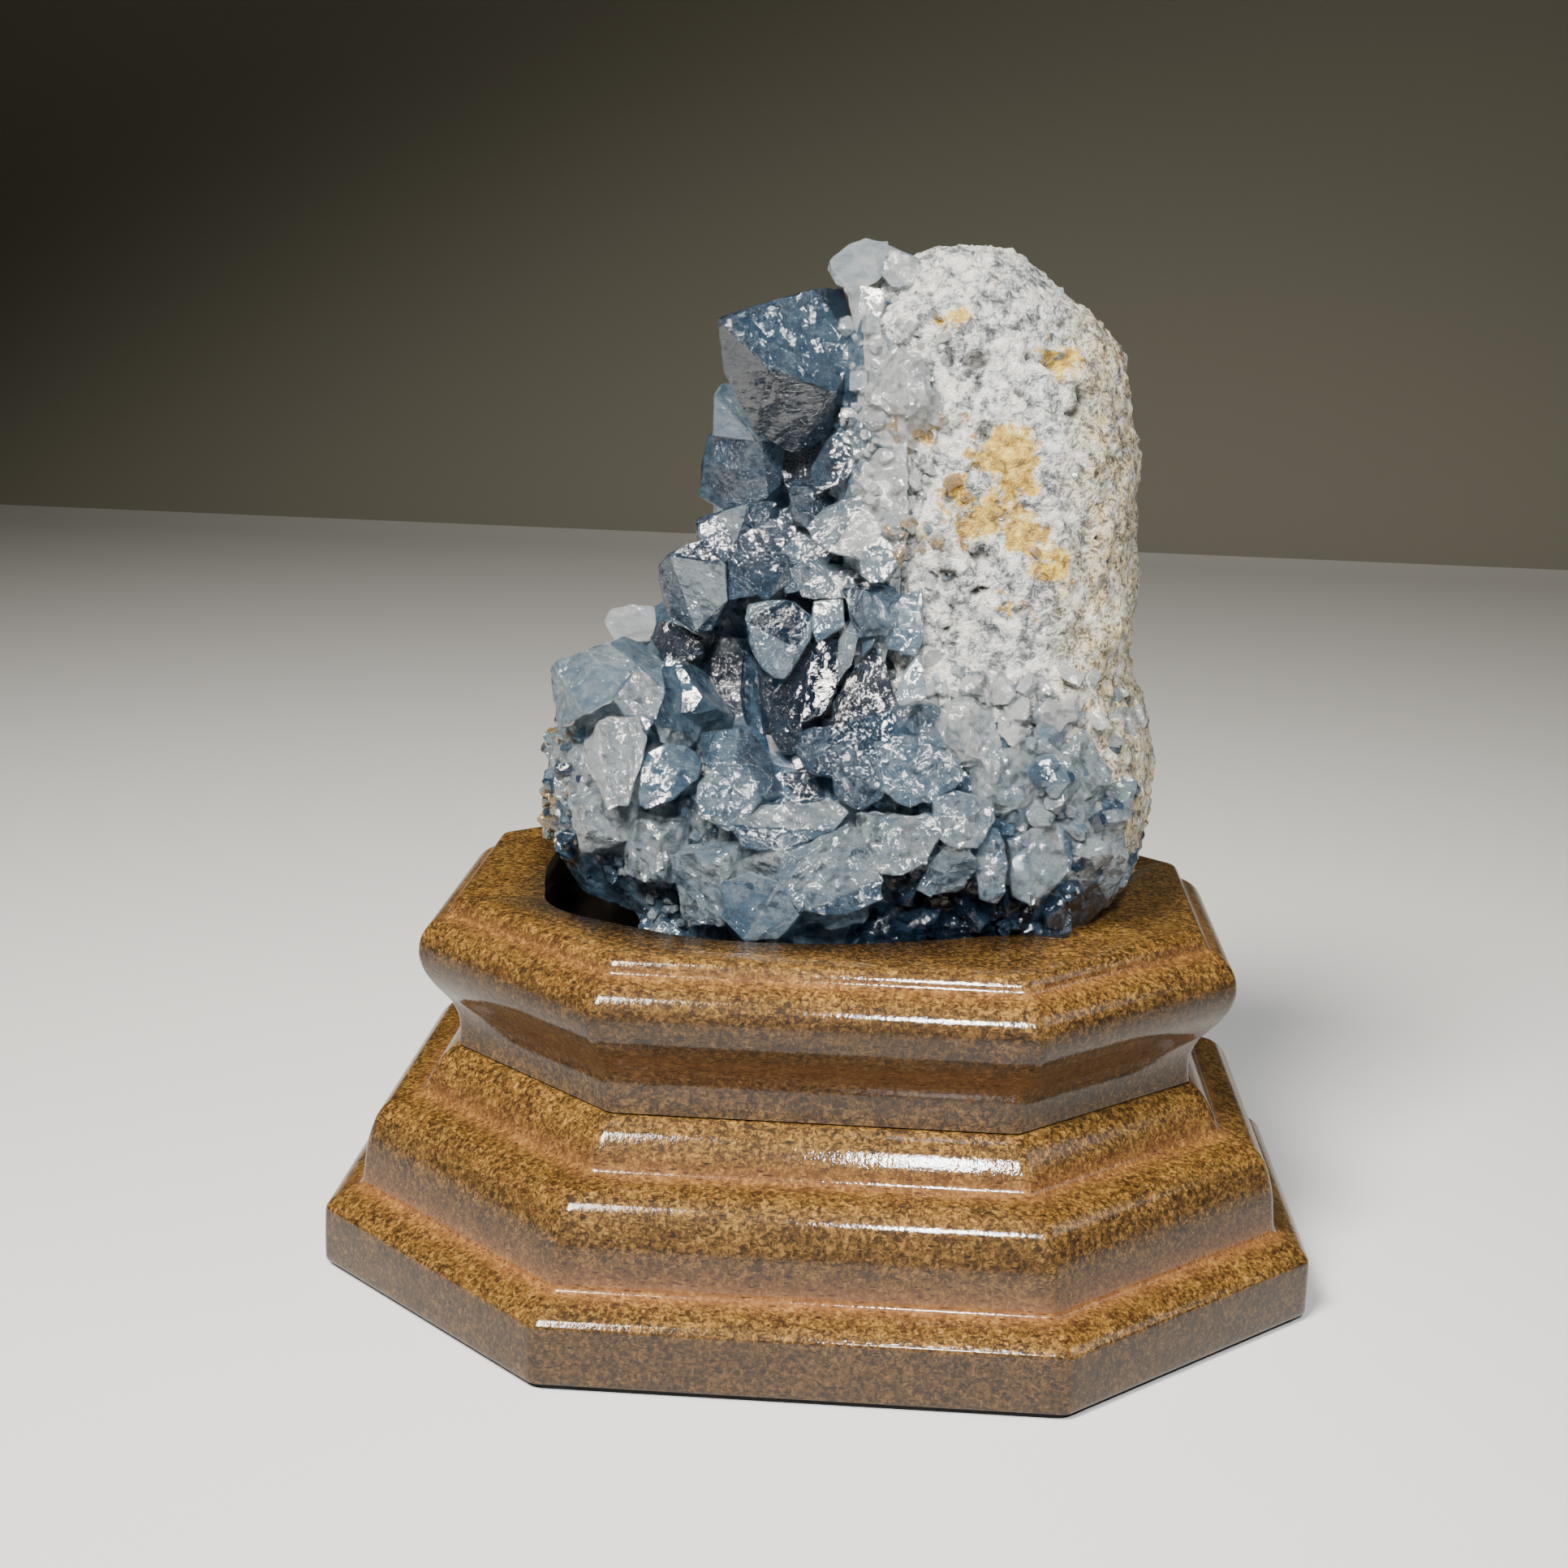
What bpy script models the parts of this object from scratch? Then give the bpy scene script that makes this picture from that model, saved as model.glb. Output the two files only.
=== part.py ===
"""Celestite geode resting in the recess of an octagonal stand, at its real size.

Metres, +Z up. The origin is on the floor under the middle of the stand, and -Y is the front.
"""
import math
import random

import bmesh
import bpy
from mathutils import Matrix, Vector

MM = 0.001
GAP = 0.3

# Stand: driving dimensions in mm
STAND_WIDTH = 150.0
STAND_DEPTH = 135.0
CORNER_CUT = 38.0
CORNER_RADIUS = 2.5
CORNER_STEPS = 2
PAD_THICKNESS = 0.9
PAD_INSET = 1.2
JOINT_HEIGHT = 34.0
RECESS_FLOOR = 47.8
RECESS_CUT_TOP = 60.0
RECESS_CURVE_STEPS = 3

# Moulding of the lower slab: how far each line is drawn in, and its height
BASE_MOULDING = [
    (0.3, PAD_THICKNESS + GAP), (0.0, 1.8), (0.0, 8.5), (0.4, 9.9), (1.4, 10.9), (5.3, 12.9), (5.5, 15.1),
    (5.9, 18.8), (6.6, 21.6), (7.6, 24.0), (9.4, 25.8), (14.0, 26.9), (15.0, 29.4), (16.6, 32.1),
    (18.6, JOINT_HEIGHT),
]

# Moulding of the upper slab, from the neck to the rounded lip
TOP_MOULDING = [
    (19.0, JOINT_HEIGHT + GAP), (19.2, 36.5), (19.0, 38.6), (18.0, 41.0), (16.5, 42.8), (15.3, 44.2),
    (14.0, 46.2), (13.3, 48.2), (13.2, 49.7), (13.5, 51.4), (14.4, 53.0), (15.7, 54.2), (17.6, 55.3),
    (18.0, 56.4), (18.8, 57.4), (20.4, 57.8),
]

# Recess: points of the hand-sawn edge in mm, walked round from the front
RECESS_EDGE = [
    (-6, -38.8), (10, -35.5), (22, -30.5), (33, -25), (40, -14), (43, -3), (47, 8), (47.5, 20), (41, 30),
    (26, 35), (6, 37), (-14, 36.5), (-32, 33), (-43, 23), (-45.5, 7), (-44, -14), (-41, -25), (-30, -33),
    (-18, -38),
]

# Rock: lumps that grew together, each with its middle, radii and squareness, in mm
ROCK_LUMPS = [
    ("pillar", (23, 2, 104), (22, 25, 48), 2.8),
    ("crown", (17, 1, 124), (19, 22, 33.5), 2.5),
    ("shoulder", (26, 0, 76), (23, 27.5, 26), 2.5),
    ("foot", (1, -1, 64), (38, 26, 18.5), 2.3),
    ("left_lobe", (-31.5, 2, 72), (12, 20, 18), 2.3),
    ("back_wall", (-3, 15, 106), (17, 12, 38), 2.5),
    ("back", (10, 14.5, 104), (24, 13.5, 44), 2.5),
    ("saddle", (-19, 13, 84), (15, 12, 17), 2.3),
]
LUMP_SUBDIVISIONS = 4
ROCK_VOXEL = 2.2
ROCK_SMOOTHING = 6
ROCK_LUMP_HEIGHT = 3.0
ROCK_LUMP_SIZE = 11.0
ROCK_FACES_KEPT = 0.11

# Where crystals cover the rock: the hollow, the broken front and the left lobe, as ellipsoids in mm
CRYSTAL_ZONES = [
    ("hollow", (-34, -26, 118), (44, 40, 66)),
    ("front", (-2, -44, 66), (60, 34, 31)),
    ("lobe", (-32, -16, 84), (27, 26, 24)),
]
ZONE_SUBDIVISIONS = 3
CRUST_THICKNESS = 2.4
CRUST_GAP = GAP + 0.1
FLAT_ANGLE = 1.0

# Main crystals: tip, root, width, height, turn about the axis, and how much of the height the tip's
# ridge keeps, in mm and degrees
CRYSTALS = [
    ("blade_top", (-19, -18, 141), (5, -1, 144), 14, 13, 8, 0.95),
    ("blade_low", (-17, -17, 135), (2, -2, 131), 13, 12, -6, 0.8),
    ("under_blade", (-21, -6, 132), (-8, 10, 132), 9, 9, 10, 0.5),
    ("back_upper", (-23, -3, 122), (-6, 14, 120), 12, 15, 5, 0.8),
    ("back_mid", (-24, -5, 115), (-8, 12, 113), 12, 13, -5, 0.7),
    ("back_lower", (-28, -8, 105), (-11, 8, 101), 12, 15, -6, 0.85),
    ("back_ledge", (-22, -9, 112), (-11, 6, 108), 8, 8, 25, 0.5),
    ("behind_lobe", (-35, 2, 100), (-30, 3, 87), 8, 7, 20, 0.6),
    ("behind_low", (-26, 0, 97), (-24, 3, 84), 9, 8, 10, 0.5),
    ("dark_gap", (-9, -6, 124), (0, 6, 119), 7, 8, 0, 0.5),
    ("curved_shell", (-5, -12, 126), (3, -1, 123), 8, 9, 20, 0.5),
    ("sandy_ledge", (-9, -14, 118), (3, -1, 120), 8, 6, 0, 0.5),
    ("pale_block", (-5, -22, 117), (11, -5, 116), 10, 9, 15, 0.7),
    ("pale_low", (1, -24, 110), (10, -9, 110), 8, 6, 0, 0.5),
    ("mid_top", (-13, -10, 112), (-1, 4, 109), 9, 9, 30, 0.5),
    ("mid_left", (-16, -12, 104), (-4, 2, 105), 10, 10, 15, 0.5),
    ("mid_bright", (-10, -17, 109), (2, -3, 109), 9, 8, -15, 0.5),
    ("mid_point", (-9, -20, 92), (-7, -3, 104), 11, 8, 10, 0.5),
    ("mid_tooth", (-13, -16, 99), (-6, -3, 105), 8, 7, 30, 0.4),
    ("mid_small", (-3, -22, 99), (0, -7, 106), 6, 5, 0, 0.6),
    ("sliver", (1, -24, 95), (3, -11, 103), 4, 3, 20, 0.3),
    ("grey_step", (4, -24, 105), (10, -7, 99), 8, 8, 10, 0.5),
    ("dusty_block", (-9, -14, 84), (0, 1, 96), 12, 14, 20, 0.8),
    ("dark_wedge", (7, -18, 99), (6, -7, 81), 10, 9, 30, 0.3),
    ("dark_low", (1, -17, 92), (6, -5, 79), 9, 8, 0, 0.5),
    ("grey_slab", (10, -20, 104), (12, -9, 85), 9, 8, 10, 0.5),
    ("chip", (10, -30, 98), (11, -29, 91), 5, 2, 0, 0.5),
    ("row_one", (2, -26, 86), (12, -11, 85), 10, 8, 10, 0.5),
    ("row_two", (0, -31, 80), (10, -12, 81), 11, 11, 25, 0.8),
    ("row_three", (11, -34, 79), (13, -15, 82), 11, 10, 10, 0.5),
    ("glint", (6, -36, 69), (9, -17, 73), 11, 9, 10, 0.8),
    ("front_a", (17, -34, 70), (16, -17, 75), 10, 8, 20, 0.5),
    ("front_b", (13, -33, 65), (15, -18, 68), 9, 8, 0, 0.5),
    ("front_single", (24, -33, 64), (25, -17, 71), 6, 5, 15, 0.3),
    ("front_c", (29, -29, 63), (33, -15, 68), 11, 9, 5, 0.7),
    ("front_d", (40, -19, 64), (43, -6, 68), 10, 8, 30, 0.5),
    ("front_e", (25, -33, 82), (26, -15, 80), 10, 9, 10, 0.5),
    ("front_f", (35, -29, 82), (35, -12, 79), 11, 10, 35, 0.5),
    ("front_g", (41, -20, 87), (39, -6, 85), 9, 8, 0, 0.5),
    ("front_h", (19, -32, 88), (20, -14, 87), 9, 9, 20, 0.5),
    ("lobe_left", (-41, -15, 90), (-33, -3, 79), 15, 12, 10, 0.8),
    ("lobe_top", (-34, -11, 97), (-35, 3, 82), 12, 10, 25, 0.7),
    ("lobe_back", (-29, -6, 93), (-31, -1, 82), 10, 8, 20, 0.7),
    ("lobe_mid", (-29, -22, 94), (-29, -7, 79), 10, 9, 35, 0.6),
    ("lobe_right", (-21, -16, 92), (-26, -5, 77), 11, 10, 15, 0.7),
    ("lobe_low", (-35, -25, 88), (-35, -11, 73), 10, 9, 0, 0.5),
    ("lobe_foot", (-23, -26, 85), (-27, -11, 72), 10, 9, 30, 0.5),
    ("ochre_top", (-13, -18, 85), (-15, -3, 69), 12, 10, 20, 0.7),
    ("sparkle", (-14, -30, 81), (-16, -13, 68), 10, 9, 5, 0.8),
    ("long_dark", (3, -31, 79), (-12, -15, 66), 9, 8, 25, 0.8),
    ("long_two", (-7, -30, 78), (-10, -15, 65), 10, 8, 10, 0.7),
    ("foot_a", (-34, -27, 73), (-32, -11, 68), 10, 9, 20, 0.5),
    ("foot_b", (-26, -31, 68), (-25, -13, 67), 10, 9, 0, 0.5),
    ("foot_c", (-16, -35, 64), (-17, -17, 64), 12, 11, 15, 0.8),
    ("foot_d", (-6, -36, 66), (-8, -17, 66), 12, 11, 40, 0.8),
    ("foot_e", (1, -35, 63), (0, -17, 64), 10, 9, 10, 0.5),
    ("deep_one", (-17, 2, 95), (-16, 16, 83), 12, 12, 15, 0.9),
    ("deep_two", (-12, 0, 88), (-13, 12, 79), 10, 9, 40, 0.9),
    ("top_clear", (-3, -2, 155), (9, 0, 145), 10, 9, 20, 0.6),
    ("top_grey", (6, -6, 154), (9, 3, 147), 9, 8, 0, 0.5),
    ("top_pale", (-1, -13, 150), (6, -1, 144), 6, 6, 30, 0.5),
    ("top_blue", (3, -17, 146), (11, -2, 147), 8, 7, 15, 0.5),
    ("top_low", (2, -18, 139), (10, -4, 139), 7, 7, 30, 0.5),
]
ROOT_LENGTH = 4.0

# A crystal's faces: slopes in degrees from its axis or its flat sides, and cuts as parts of its size
PRISM_ANGLE = (46, 58)
PRISM_EDGE_KEPT = (0.66, 1.05)
RIDGE_SHIFT = 0.25
CHISEL_SLOPE = (34, 50)
END_SLOPE = (35, 60)

# Small crystals that fill the crust between the main ones
FILLER_COUNT = 62
FILLER_SPACING = 7.8
LOWEST_FILLER = 54.0
FILLER_WIDTH = (7.0, 11.0)
FILLER_OUT = (4.2, 7.0)
FILLER_LEAN = 0.5
SEED = 11


def new_collection(name):
    collection = bpy.data.collections.new(name)
    bpy.context.scene.collection.children.link(collection)
    return collection


def clear_scene():
    for item in list(bpy.data.objects):
        bpy.data.objects.remove(item, do_unlink=True)


def make_material(name, colour, roughness, transmission=0.0):
    material = bpy.data.materials.new(name)
    material.use_nodes = True
    shader = material.node_tree.nodes["Principled BSDF"]
    shader.inputs["Base Color"].default_value = (*colour, 1.0)
    shader.inputs["Roughness"].default_value = roughness
    shader.inputs["Transmission Weight"].default_value = transmission
    material.diffuse_color = (*colour, 1.0)
    return material


def make_object(name, bm, collection, material=None):
    mesh = bpy.data.meshes.new(name)
    bm.to_mesh(mesh)
    bm.free()
    item = bpy.data.objects.new(name, mesh)
    collection.objects.link(item)
    if material:
        mesh.materials.append(material)
    return item


def make_cutter(item):
    item.hide_render = True
    item.display_type = "WIRE"
    return item


def settle(item):
    """Turn an object's modifiers into its mesh."""
    graph = bpy.context.evaluated_depsgraph_get()
    mesh = bpy.data.meshes.new_from_object(item.evaluated_get(graph))
    item.modifiers.clear()
    item.data = mesh
    return item


def add_boolean(item, cutter, operation, solver="EXACT"):
    modifier = item.modifiers.new(operation.lower(), "BOOLEAN")
    modifier.operation = operation
    modifier.solver = solver
    modifier.object = cutter
    return modifier


def outline_corner(index, inset):
    """Where two sides of the drawn-in octagon meet: side normals stand 45 degrees apart."""
    half_width = STAND_WIDTH / 2
    half_depth = STAND_DEPTH / 2
    diagonal = (half_width + half_depth - CORNER_CUT) / math.sqrt(2)
    reach = [half_width, diagonal, half_depth, diagonal]
    turn_a = math.radians(45 * index)
    turn_b = math.radians(45 * (index + 1))
    reach_a = reach[index % 4] - inset
    reach_b = reach[(index + 1) % 4] - inset
    span = math.sin(turn_b - turn_a)
    x = (reach_a * math.sin(turn_b) - reach_b * math.sin(turn_a)) / span
    y = (reach_b * math.cos(turn_a) - reach_a * math.cos(turn_b)) / span
    return x, y


def outline_ring(inset):
    """Points of the octagon with rounded corners."""
    points = []
    for index in range(8):
        x, y = outline_corner(index, inset + CORNER_RADIUS)
        for step in range(CORNER_STEPS + 1):
            angle = math.radians(45 * (index + step / CORNER_STEPS))
            points.append((x + CORNER_RADIUS * math.cos(angle), y + CORNER_RADIUS * math.sin(angle)))
    return points


def moulded_slab(name, moulding, collection, material):
    """Loft the octagon through a moulding and close it with flat faces."""
    bm = bmesh.new()
    loops = []
    for inset, height in moulding:
        verts = [bm.verts.new((x * MM, y * MM, height * MM)) for x, y in outline_ring(inset)]
        loops.append([bm.edges.new((verts[i - 1], verts[i])) for i in range(len(verts))])
    for lower, upper in zip(loops, loops[1:]):
        bmesh.ops.bridge_loops(bm, edges=lower + upper)
    bmesh.ops.contextual_create(bm, geom=loops[0])
    bmesh.ops.contextual_create(bm, geom=loops[-1])
    bmesh.ops.recalc_face_normals(bm, faces=bm.faces)
    slab = make_object(name, bm, collection, material)
    slab.data.shade_smooth()
    slab.data.set_sharp_from_angle(angle=math.radians(30))
    return slab


def recess_cutter(collection):
    """The recess as a solid: a smooth closed curve through the sawn edge, filled and extruded."""
    curve = bpy.data.curves.new("recess_edge", "CURVE")
    curve.dimensions = "2D"
    curve.fill_mode = "BOTH"
    curve.resolution_u = RECESS_CURVE_STEPS
    curve.extrude = (RECESS_CUT_TOP - RECESS_FLOOR) / 2 * MM
    spline = curve.splines.new("BEZIER")
    spline.bezier_points.add(len(RECESS_EDGE) - 1)
    spline.use_cyclic_u = True
    for point, (x, y) in zip(spline.bezier_points, RECESS_EDGE):
        point.co = (x * MM, y * MM, 0)
        point.handle_left_type = "AUTO"
        point.handle_right_type = "AUTO"
    drawn = bpy.data.objects.new("recess_edge", curve)
    collection.objects.link(drawn)
    drawn.location.z = (RECESS_CUT_TOP + RECESS_FLOOR) / 2 * MM
    bpy.context.view_layer.update()
    graph = bpy.context.evaluated_depsgraph_get()
    mesh = bpy.data.meshes.new_from_object(drawn.evaluated_get(graph))
    bm = bmesh.new()
    bm.from_mesh(mesh)
    bmesh.ops.remove_doubles(bm, verts=bm.verts, dist=0.01 * MM)
    bmesh.ops.transform(bm, matrix=drawn.matrix_world, verts=bm.verts)
    bmesh.ops.recalc_face_normals(bm, faces=bm.faces)
    bpy.data.objects.remove(drawn, do_unlink=True)
    return make_cutter(make_object("recess", bm, collection))


def lump(bm, middle, radii, squareness, subdivisions):
    """A rounded block: a sphere whose points are pushed out towards the corners of its box."""
    made = bmesh.ops.create_icosphere(bm, subdivisions=subdivisions, radius=1.0)
    for vert in made["verts"]:
        spread = sum(abs(value) ** squareness for value in vert.co) ** (1 / squareness)
        vert.co = Vector(
            (middle[axis] + vert.co[axis] / spread * radii[axis]) * MM for axis in range(3))


def rock_body(stand_room, collection, material):
    """The rock: its lumps made one, smoothed, roughened, and flat where it rests."""
    bm = bmesh.new()
    for _, middle, radii, squareness in ROCK_LUMPS:
        lump(bm, middle, radii, squareness, LUMP_SUBDIVISIONS)
    rock = make_object("matrix", bm, collection, material)
    remesh = rock.modifiers.new("one_body", "REMESH")
    remesh.mode = "VOXEL"
    remesh.voxel_size = ROCK_VOXEL * MM
    smooth = rock.modifiers.new("worn", "SMOOTH")
    smooth.iterations = ROCK_SMOOTHING
    knobs = bpy.data.textures.new("knobs", "CLOUDS")
    knobs.noise_scale = ROCK_LUMP_SIZE * MM
    rough = rock.modifiers.new("knobbly", "DISPLACE")
    rough.texture = knobs
    rough.texture_coords = "GLOBAL"
    rough.mid_level = 0.5
    rough.strength = ROCK_LUMP_HEIGHT * MM
    fewer = rock.modifiers.new("fewer_faces", "DECIMATE")
    fewer.ratio = ROCK_FACES_KEPT
    settle(rock)
    bm = bmesh.new()
    bm.from_mesh(rock.data)
    cut_away(bm, Vector((0, 0, (RECESS_FLOOR + GAP) * MM)), Vector((0, 0, -1)))
    bm.to_mesh(rock.data)
    bm.free()
    add_boolean(rock, stand_room, "DIFFERENCE")
    return settle(rock)


def grown_copy(item, distance, name, collection):
    """A copy of a settled object with its surface moved outwards."""
    copy = bpy.data.objects.new(name, item.data.copy())
    collection.objects.link(copy)
    grow = copy.modifiers.new("grow", "DISPLACE")
    grow.mid_level = 0.0
    grow.strength = distance * MM
    return make_cutter(settle(copy))


def cut_away(bm, point, normal):
    """Slice a facet and close the solid again."""
    geometry = bm.verts[:] + bm.edges[:] + bm.faces[:]
    cut = bmesh.ops.bisect_plane(
        bm, geom=geometry, plane_co=point, plane_no=normal, dist=1e-7, clear_outer=True)
    edges = [part for part in cut["geom_cut"] if isinstance(part, bmesh.types.BMEdge)]
    if edges:
        bmesh.ops.contextual_create(bm, geom=edges)


def crystal(tip, root, width, height, turn, ridge, chance):
    """One crystal: a four-sided prism, some of its edges cut, with a chisel tip of two large faces."""
    tip = Vector(tip) * MM
    root = Vector(root) * MM
    axis = (tip - root).normalized()
    length = (tip - root).length + ROOT_LENGTH * MM
    width = width * MM
    height = height * MM
    bm = bmesh.new()
    bmesh.ops.create_cube(bm, size=1.0)
    bmesh.ops.transform(
        bm, matrix=Matrix.Translation((0, 0, length / 2)) @ Matrix.Diagonal((width, height, length, 1)),
        verts=bm.verts)
    for side in range(4):
        angle = math.radians(chance.uniform(*PRISM_ANGLE))
        across = math.copysign(math.cos(angle), 1.5 - side)
        along = math.sin(angle) * (1 if side % 2 else -1)
        keep = chance.uniform(*PRISM_EDGE_KEPT)
        corner = Vector((math.copysign(width / 2, across), math.copysign(height / 2, along), 0))
        cut_away(bm, corner * keep, Vector((across, along, 0)))
    middle = chance.uniform(-RIDGE_SHIFT, RIDGE_SHIFT) * width
    for side in (-1, 1):
        slope = math.radians(chance.uniform(*CHISEL_SLOPE))
        cut_away(bm, Vector((middle, 0, length)), Vector((side * math.sin(slope), 0, math.cos(slope))))
    for side in (-1, 1):
        slope = math.radians(chance.uniform(*END_SLOPE))
        start = Vector((0, side * height / 2 * ridge * chance.uniform(0.8, 1.2), length))
        cut_away(bm, start, Vector((0, side * math.sin(slope), math.cos(slope))))
    place = Matrix.Translation(root - axis * ROOT_LENGTH * MM)
    frame = axis.to_track_quat("Z", "Y").to_matrix().to_4x4()
    spin = Matrix.Rotation(math.radians(turn), 4, "Z")
    bmesh.ops.transform(bm, matrix=place @ frame @ spin, verts=bm.verts)
    return bm


def inside_zone(point, zone):
    _, middle, radii = zone
    return sum(((point[i] / MM - middle[i]) / radii[i]) ** 2 for i in range(3)) < 1


def filler_places(rock, chance):
    """Spots on the rock inside the crystal zones, spread apart, with the way the surface faces."""
    places = []
    faces = [face for face in rock.data.polygons
             if face.center.z > LOWEST_FILLER * MM and -0.7 < face.normal.x < 0.6
             and any(inside_zone(face.center, zone) for zone in CRYSTAL_ZONES)]
    chance.shuffle(faces)
    for face in faces:
        if all((face.center - spot).length > FILLER_SPACING * MM for spot, _ in places):
            places.append((face.center.copy(), face.normal.copy()))
        if len(places) == FILLER_COUNT:
            break
    return places


def fuse(item, others):
    """Join closed solids into one, a solid at a time."""
    for other in others:
        add_boolean(item, other, "UNION", "MANIFOLD")
    return settle(item)


def crystal_bodies(rock, cutters):
    """The main crystals, then the small ones that fill the crust between them."""
    chance = random.Random(SEED)
    bodies = []
    for name, tip, root, width, height, turn, ridge in CRYSTALS:
        one = crystal(tip, root, width, height, turn, ridge, chance)
        bodies.append(make_cutter(make_object(name, one, cutters)))
    for spot, normal in filler_places(rock, chance):
        lean = Vector([chance.uniform(-FILLER_LEAN, FILLER_LEAN) for _ in range(3)])
        axis = (normal + lean).normalized()
        tip = spot / MM + axis * chance.uniform(*FILLER_OUT)
        width = chance.uniform(*FILLER_WIDTH)
        one = crystal(tip, spot / MM, width, width * 0.85, chance.uniform(0, 90), chance.random(), chance)
        bodies.append(make_cutter(make_object("filler", one, cutters)))
    return bodies


def zone_body(zone, cutters):
    name, middle, radii = zone
    bm = bmesh.new()
    lump(bm, middle, radii, 2, ZONE_SUBDIVISIONS)
    return make_cutter(make_object(name, bm, cutters))


def crystal_crust(rock, stand_room, collection, cutters, material):
    """All crystals and the thin layer they stand on, as one solid that fits over the rock."""
    zones = [zone_body(zone, cutters) for zone in CRYSTAL_ZONES]
    reach = fuse(zones[0], zones[1:])
    layer = grown_copy(rock, CRUST_THICKNESS, "layer", cutters)
    add_boolean(layer, reach, "INTERSECT", "MANIFOLD")
    settle(layer)
    crust = bpy.data.objects.new("crystal_crust", layer.data.copy())
    collection.objects.link(crust)
    crust.data.materials.clear()
    crust.data.materials.append(material)
    fuse(crust, crystal_bodies(rock, cutters))
    add_boolean(crust, grown_copy(rock, CRUST_GAP, "rock_room", cutters), "DIFFERENCE", "MANIFOLD")
    add_boolean(crust, stand_room, "DIFFERENCE", "MANIFOLD")
    return keep_largest(settle(crust))


def keep_largest(item):
    """Drop loose splinters: keep the connected piece with the most points."""
    bm = bmesh.new()
    bm.from_mesh(item.data)
    waiting = set(bm.verts)
    groups = []
    while waiting:
        group = set()
        to_visit = [waiting.pop()]
        while to_visit:
            vert = to_visit.pop()
            group.add(vert)
            for edge in vert.link_edges:
                other = edge.other_vert(vert)
                if other in waiting:
                    waiting.remove(other)
                    to_visit.append(other)
        groups.append(group)
    groups.sort(key=len)
    splinters = [vert for group in groups[:-1] for vert in group]
    bmesh.ops.delete(bm, geom=splinters, context="VERTS")
    bmesh.ops.dissolve_limit(bm, angle_limit=math.radians(FLAT_ANGLE), verts=bm.verts, edges=bm.edges)
    bm.to_mesh(item.data)
    bm.free()
    return item


def main():
    clear_scene()
    parts = new_collection("celestite_geode")
    cutters = new_collection("cutters")
    lacquer = make_material("lacquered_fibreboard", (0.36, 0.2, 0.08), 0.25)
    felt = make_material("felt", (0.02, 0.02, 0.022), 0.95)
    rind = make_material("limestone_rind", (0.62, 0.6, 0.56), 0.9)
    celestite = make_material("celestite", (0.45, 0.56, 0.68), 0.3, transmission=0.5)

    pad_rows = [(PAD_INSET, 0.0), (PAD_INSET, PAD_THICKNESS)]
    moulded_slab("felt_pad", pad_rows, parts, felt)
    moulded_slab("stand_base", BASE_MOULDING, parts, lacquer)
    top = moulded_slab("stand_top", TOP_MOULDING, parts, lacquer)
    add_boolean(top, recess_cutter(cutters), "DIFFERENCE")
    settle(top)
    stand_room = grown_copy(top, CRUST_GAP, "stand_room", cutters)
    rock = rock_body(stand_room, parts, rind)
    crystal_crust(rock, stand_room, parts, cutters, celestite)


main()
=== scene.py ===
"""Looks of the celestite geode on its octagonal stand.

Metres, +Z up, -Y to the front. Sizes in the lists are millimetres.
"""

import math
import random

import bmesh
import bpy
from mathutils import Matrix, Vector, noise
from mathutils.bvhtree import BVHTree
from mathutils.kdtree import KDTree


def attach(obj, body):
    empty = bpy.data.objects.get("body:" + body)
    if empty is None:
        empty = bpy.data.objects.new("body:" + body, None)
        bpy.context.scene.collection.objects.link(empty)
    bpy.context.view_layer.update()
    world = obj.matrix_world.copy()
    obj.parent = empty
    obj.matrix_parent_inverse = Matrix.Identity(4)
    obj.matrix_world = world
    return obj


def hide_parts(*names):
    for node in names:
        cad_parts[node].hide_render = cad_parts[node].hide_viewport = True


MM = 0.001

# The stand's outline in mm
STAND_WIDTH = 150.0
STAND_DEPTH = 135.0
CORNER_CUT = 38.0
CORNER_RADIUS = 2.5
CORNER_STEPS = 6

# Mouldings: how far each line is drawn in, its height, and how strongly its crease took the stain
BASE_MOULDING = [
    (0.3, 1.2, 0), (0.0, 1.8, 0), (0.0, 8.5, 0), (0.4, 9.9, 0), (1.4, 10.9, 0), (3.3, 12.0, 0.2),
    (5.1, 12.9, 1), (5.5, 15.1, 0.3), (5.9, 18.8, 0), (6.6, 21.6, 0), (7.6, 24.0, 0), (9.4, 25.8, 0),
    (11.7, 26.4, 0.1), (13.9, 27.0, 0.7), (15.0, 29.4, 0.2), (16.6, 32.1, 0), (18.6, 34.0, 0),
]
TOP_MOULDING = [
    (19.0, 34.3, 0), (19.2, 36.5, 0), (19.0, 38.6, 0), (18.0, 41.0, 0.3), (16.5, 42.8, 0.5),
    (15.3, 44.2, 0.2), (14.0, 46.2, 0), (13.3, 48.2, 0), (13.2, 49.7, 0), (13.5, 51.4, 0), (14.4, 53.0, 0),
    (15.7, 54.2, 0.1), (17.4, 55.2, 0.6), (18.0, 56.4, 0.2), (18.8, 57.4, 0), (20.4, 57.8, 0),
]
RECESS_FLOOR = 47.8
RECESS_EDGE = [
    (-6, -38.8), (10, -35.5), (22, -30.5), (33, -25), (40, -14), (43, -3), (47, 8), (47.5, 20), (41, 30),
    (26, 35), (6, 37), (-14, 36.5), (-32, 33), (-43, 23), (-45.5, 7), (-44, -14), (-41, -25), (-30, -33),
    (-18, -38),
]

# What is painted on the crystals: milky (below 0 clearer than most, 1 white), broken rather than grown
# (0 to 1), dusty (0 to 1), a number that varies from crystal to crystal, and ochre stain (0 to 1)
LOOKS = ("milky", "broken", "dusty", "tint", "ochre")

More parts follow.
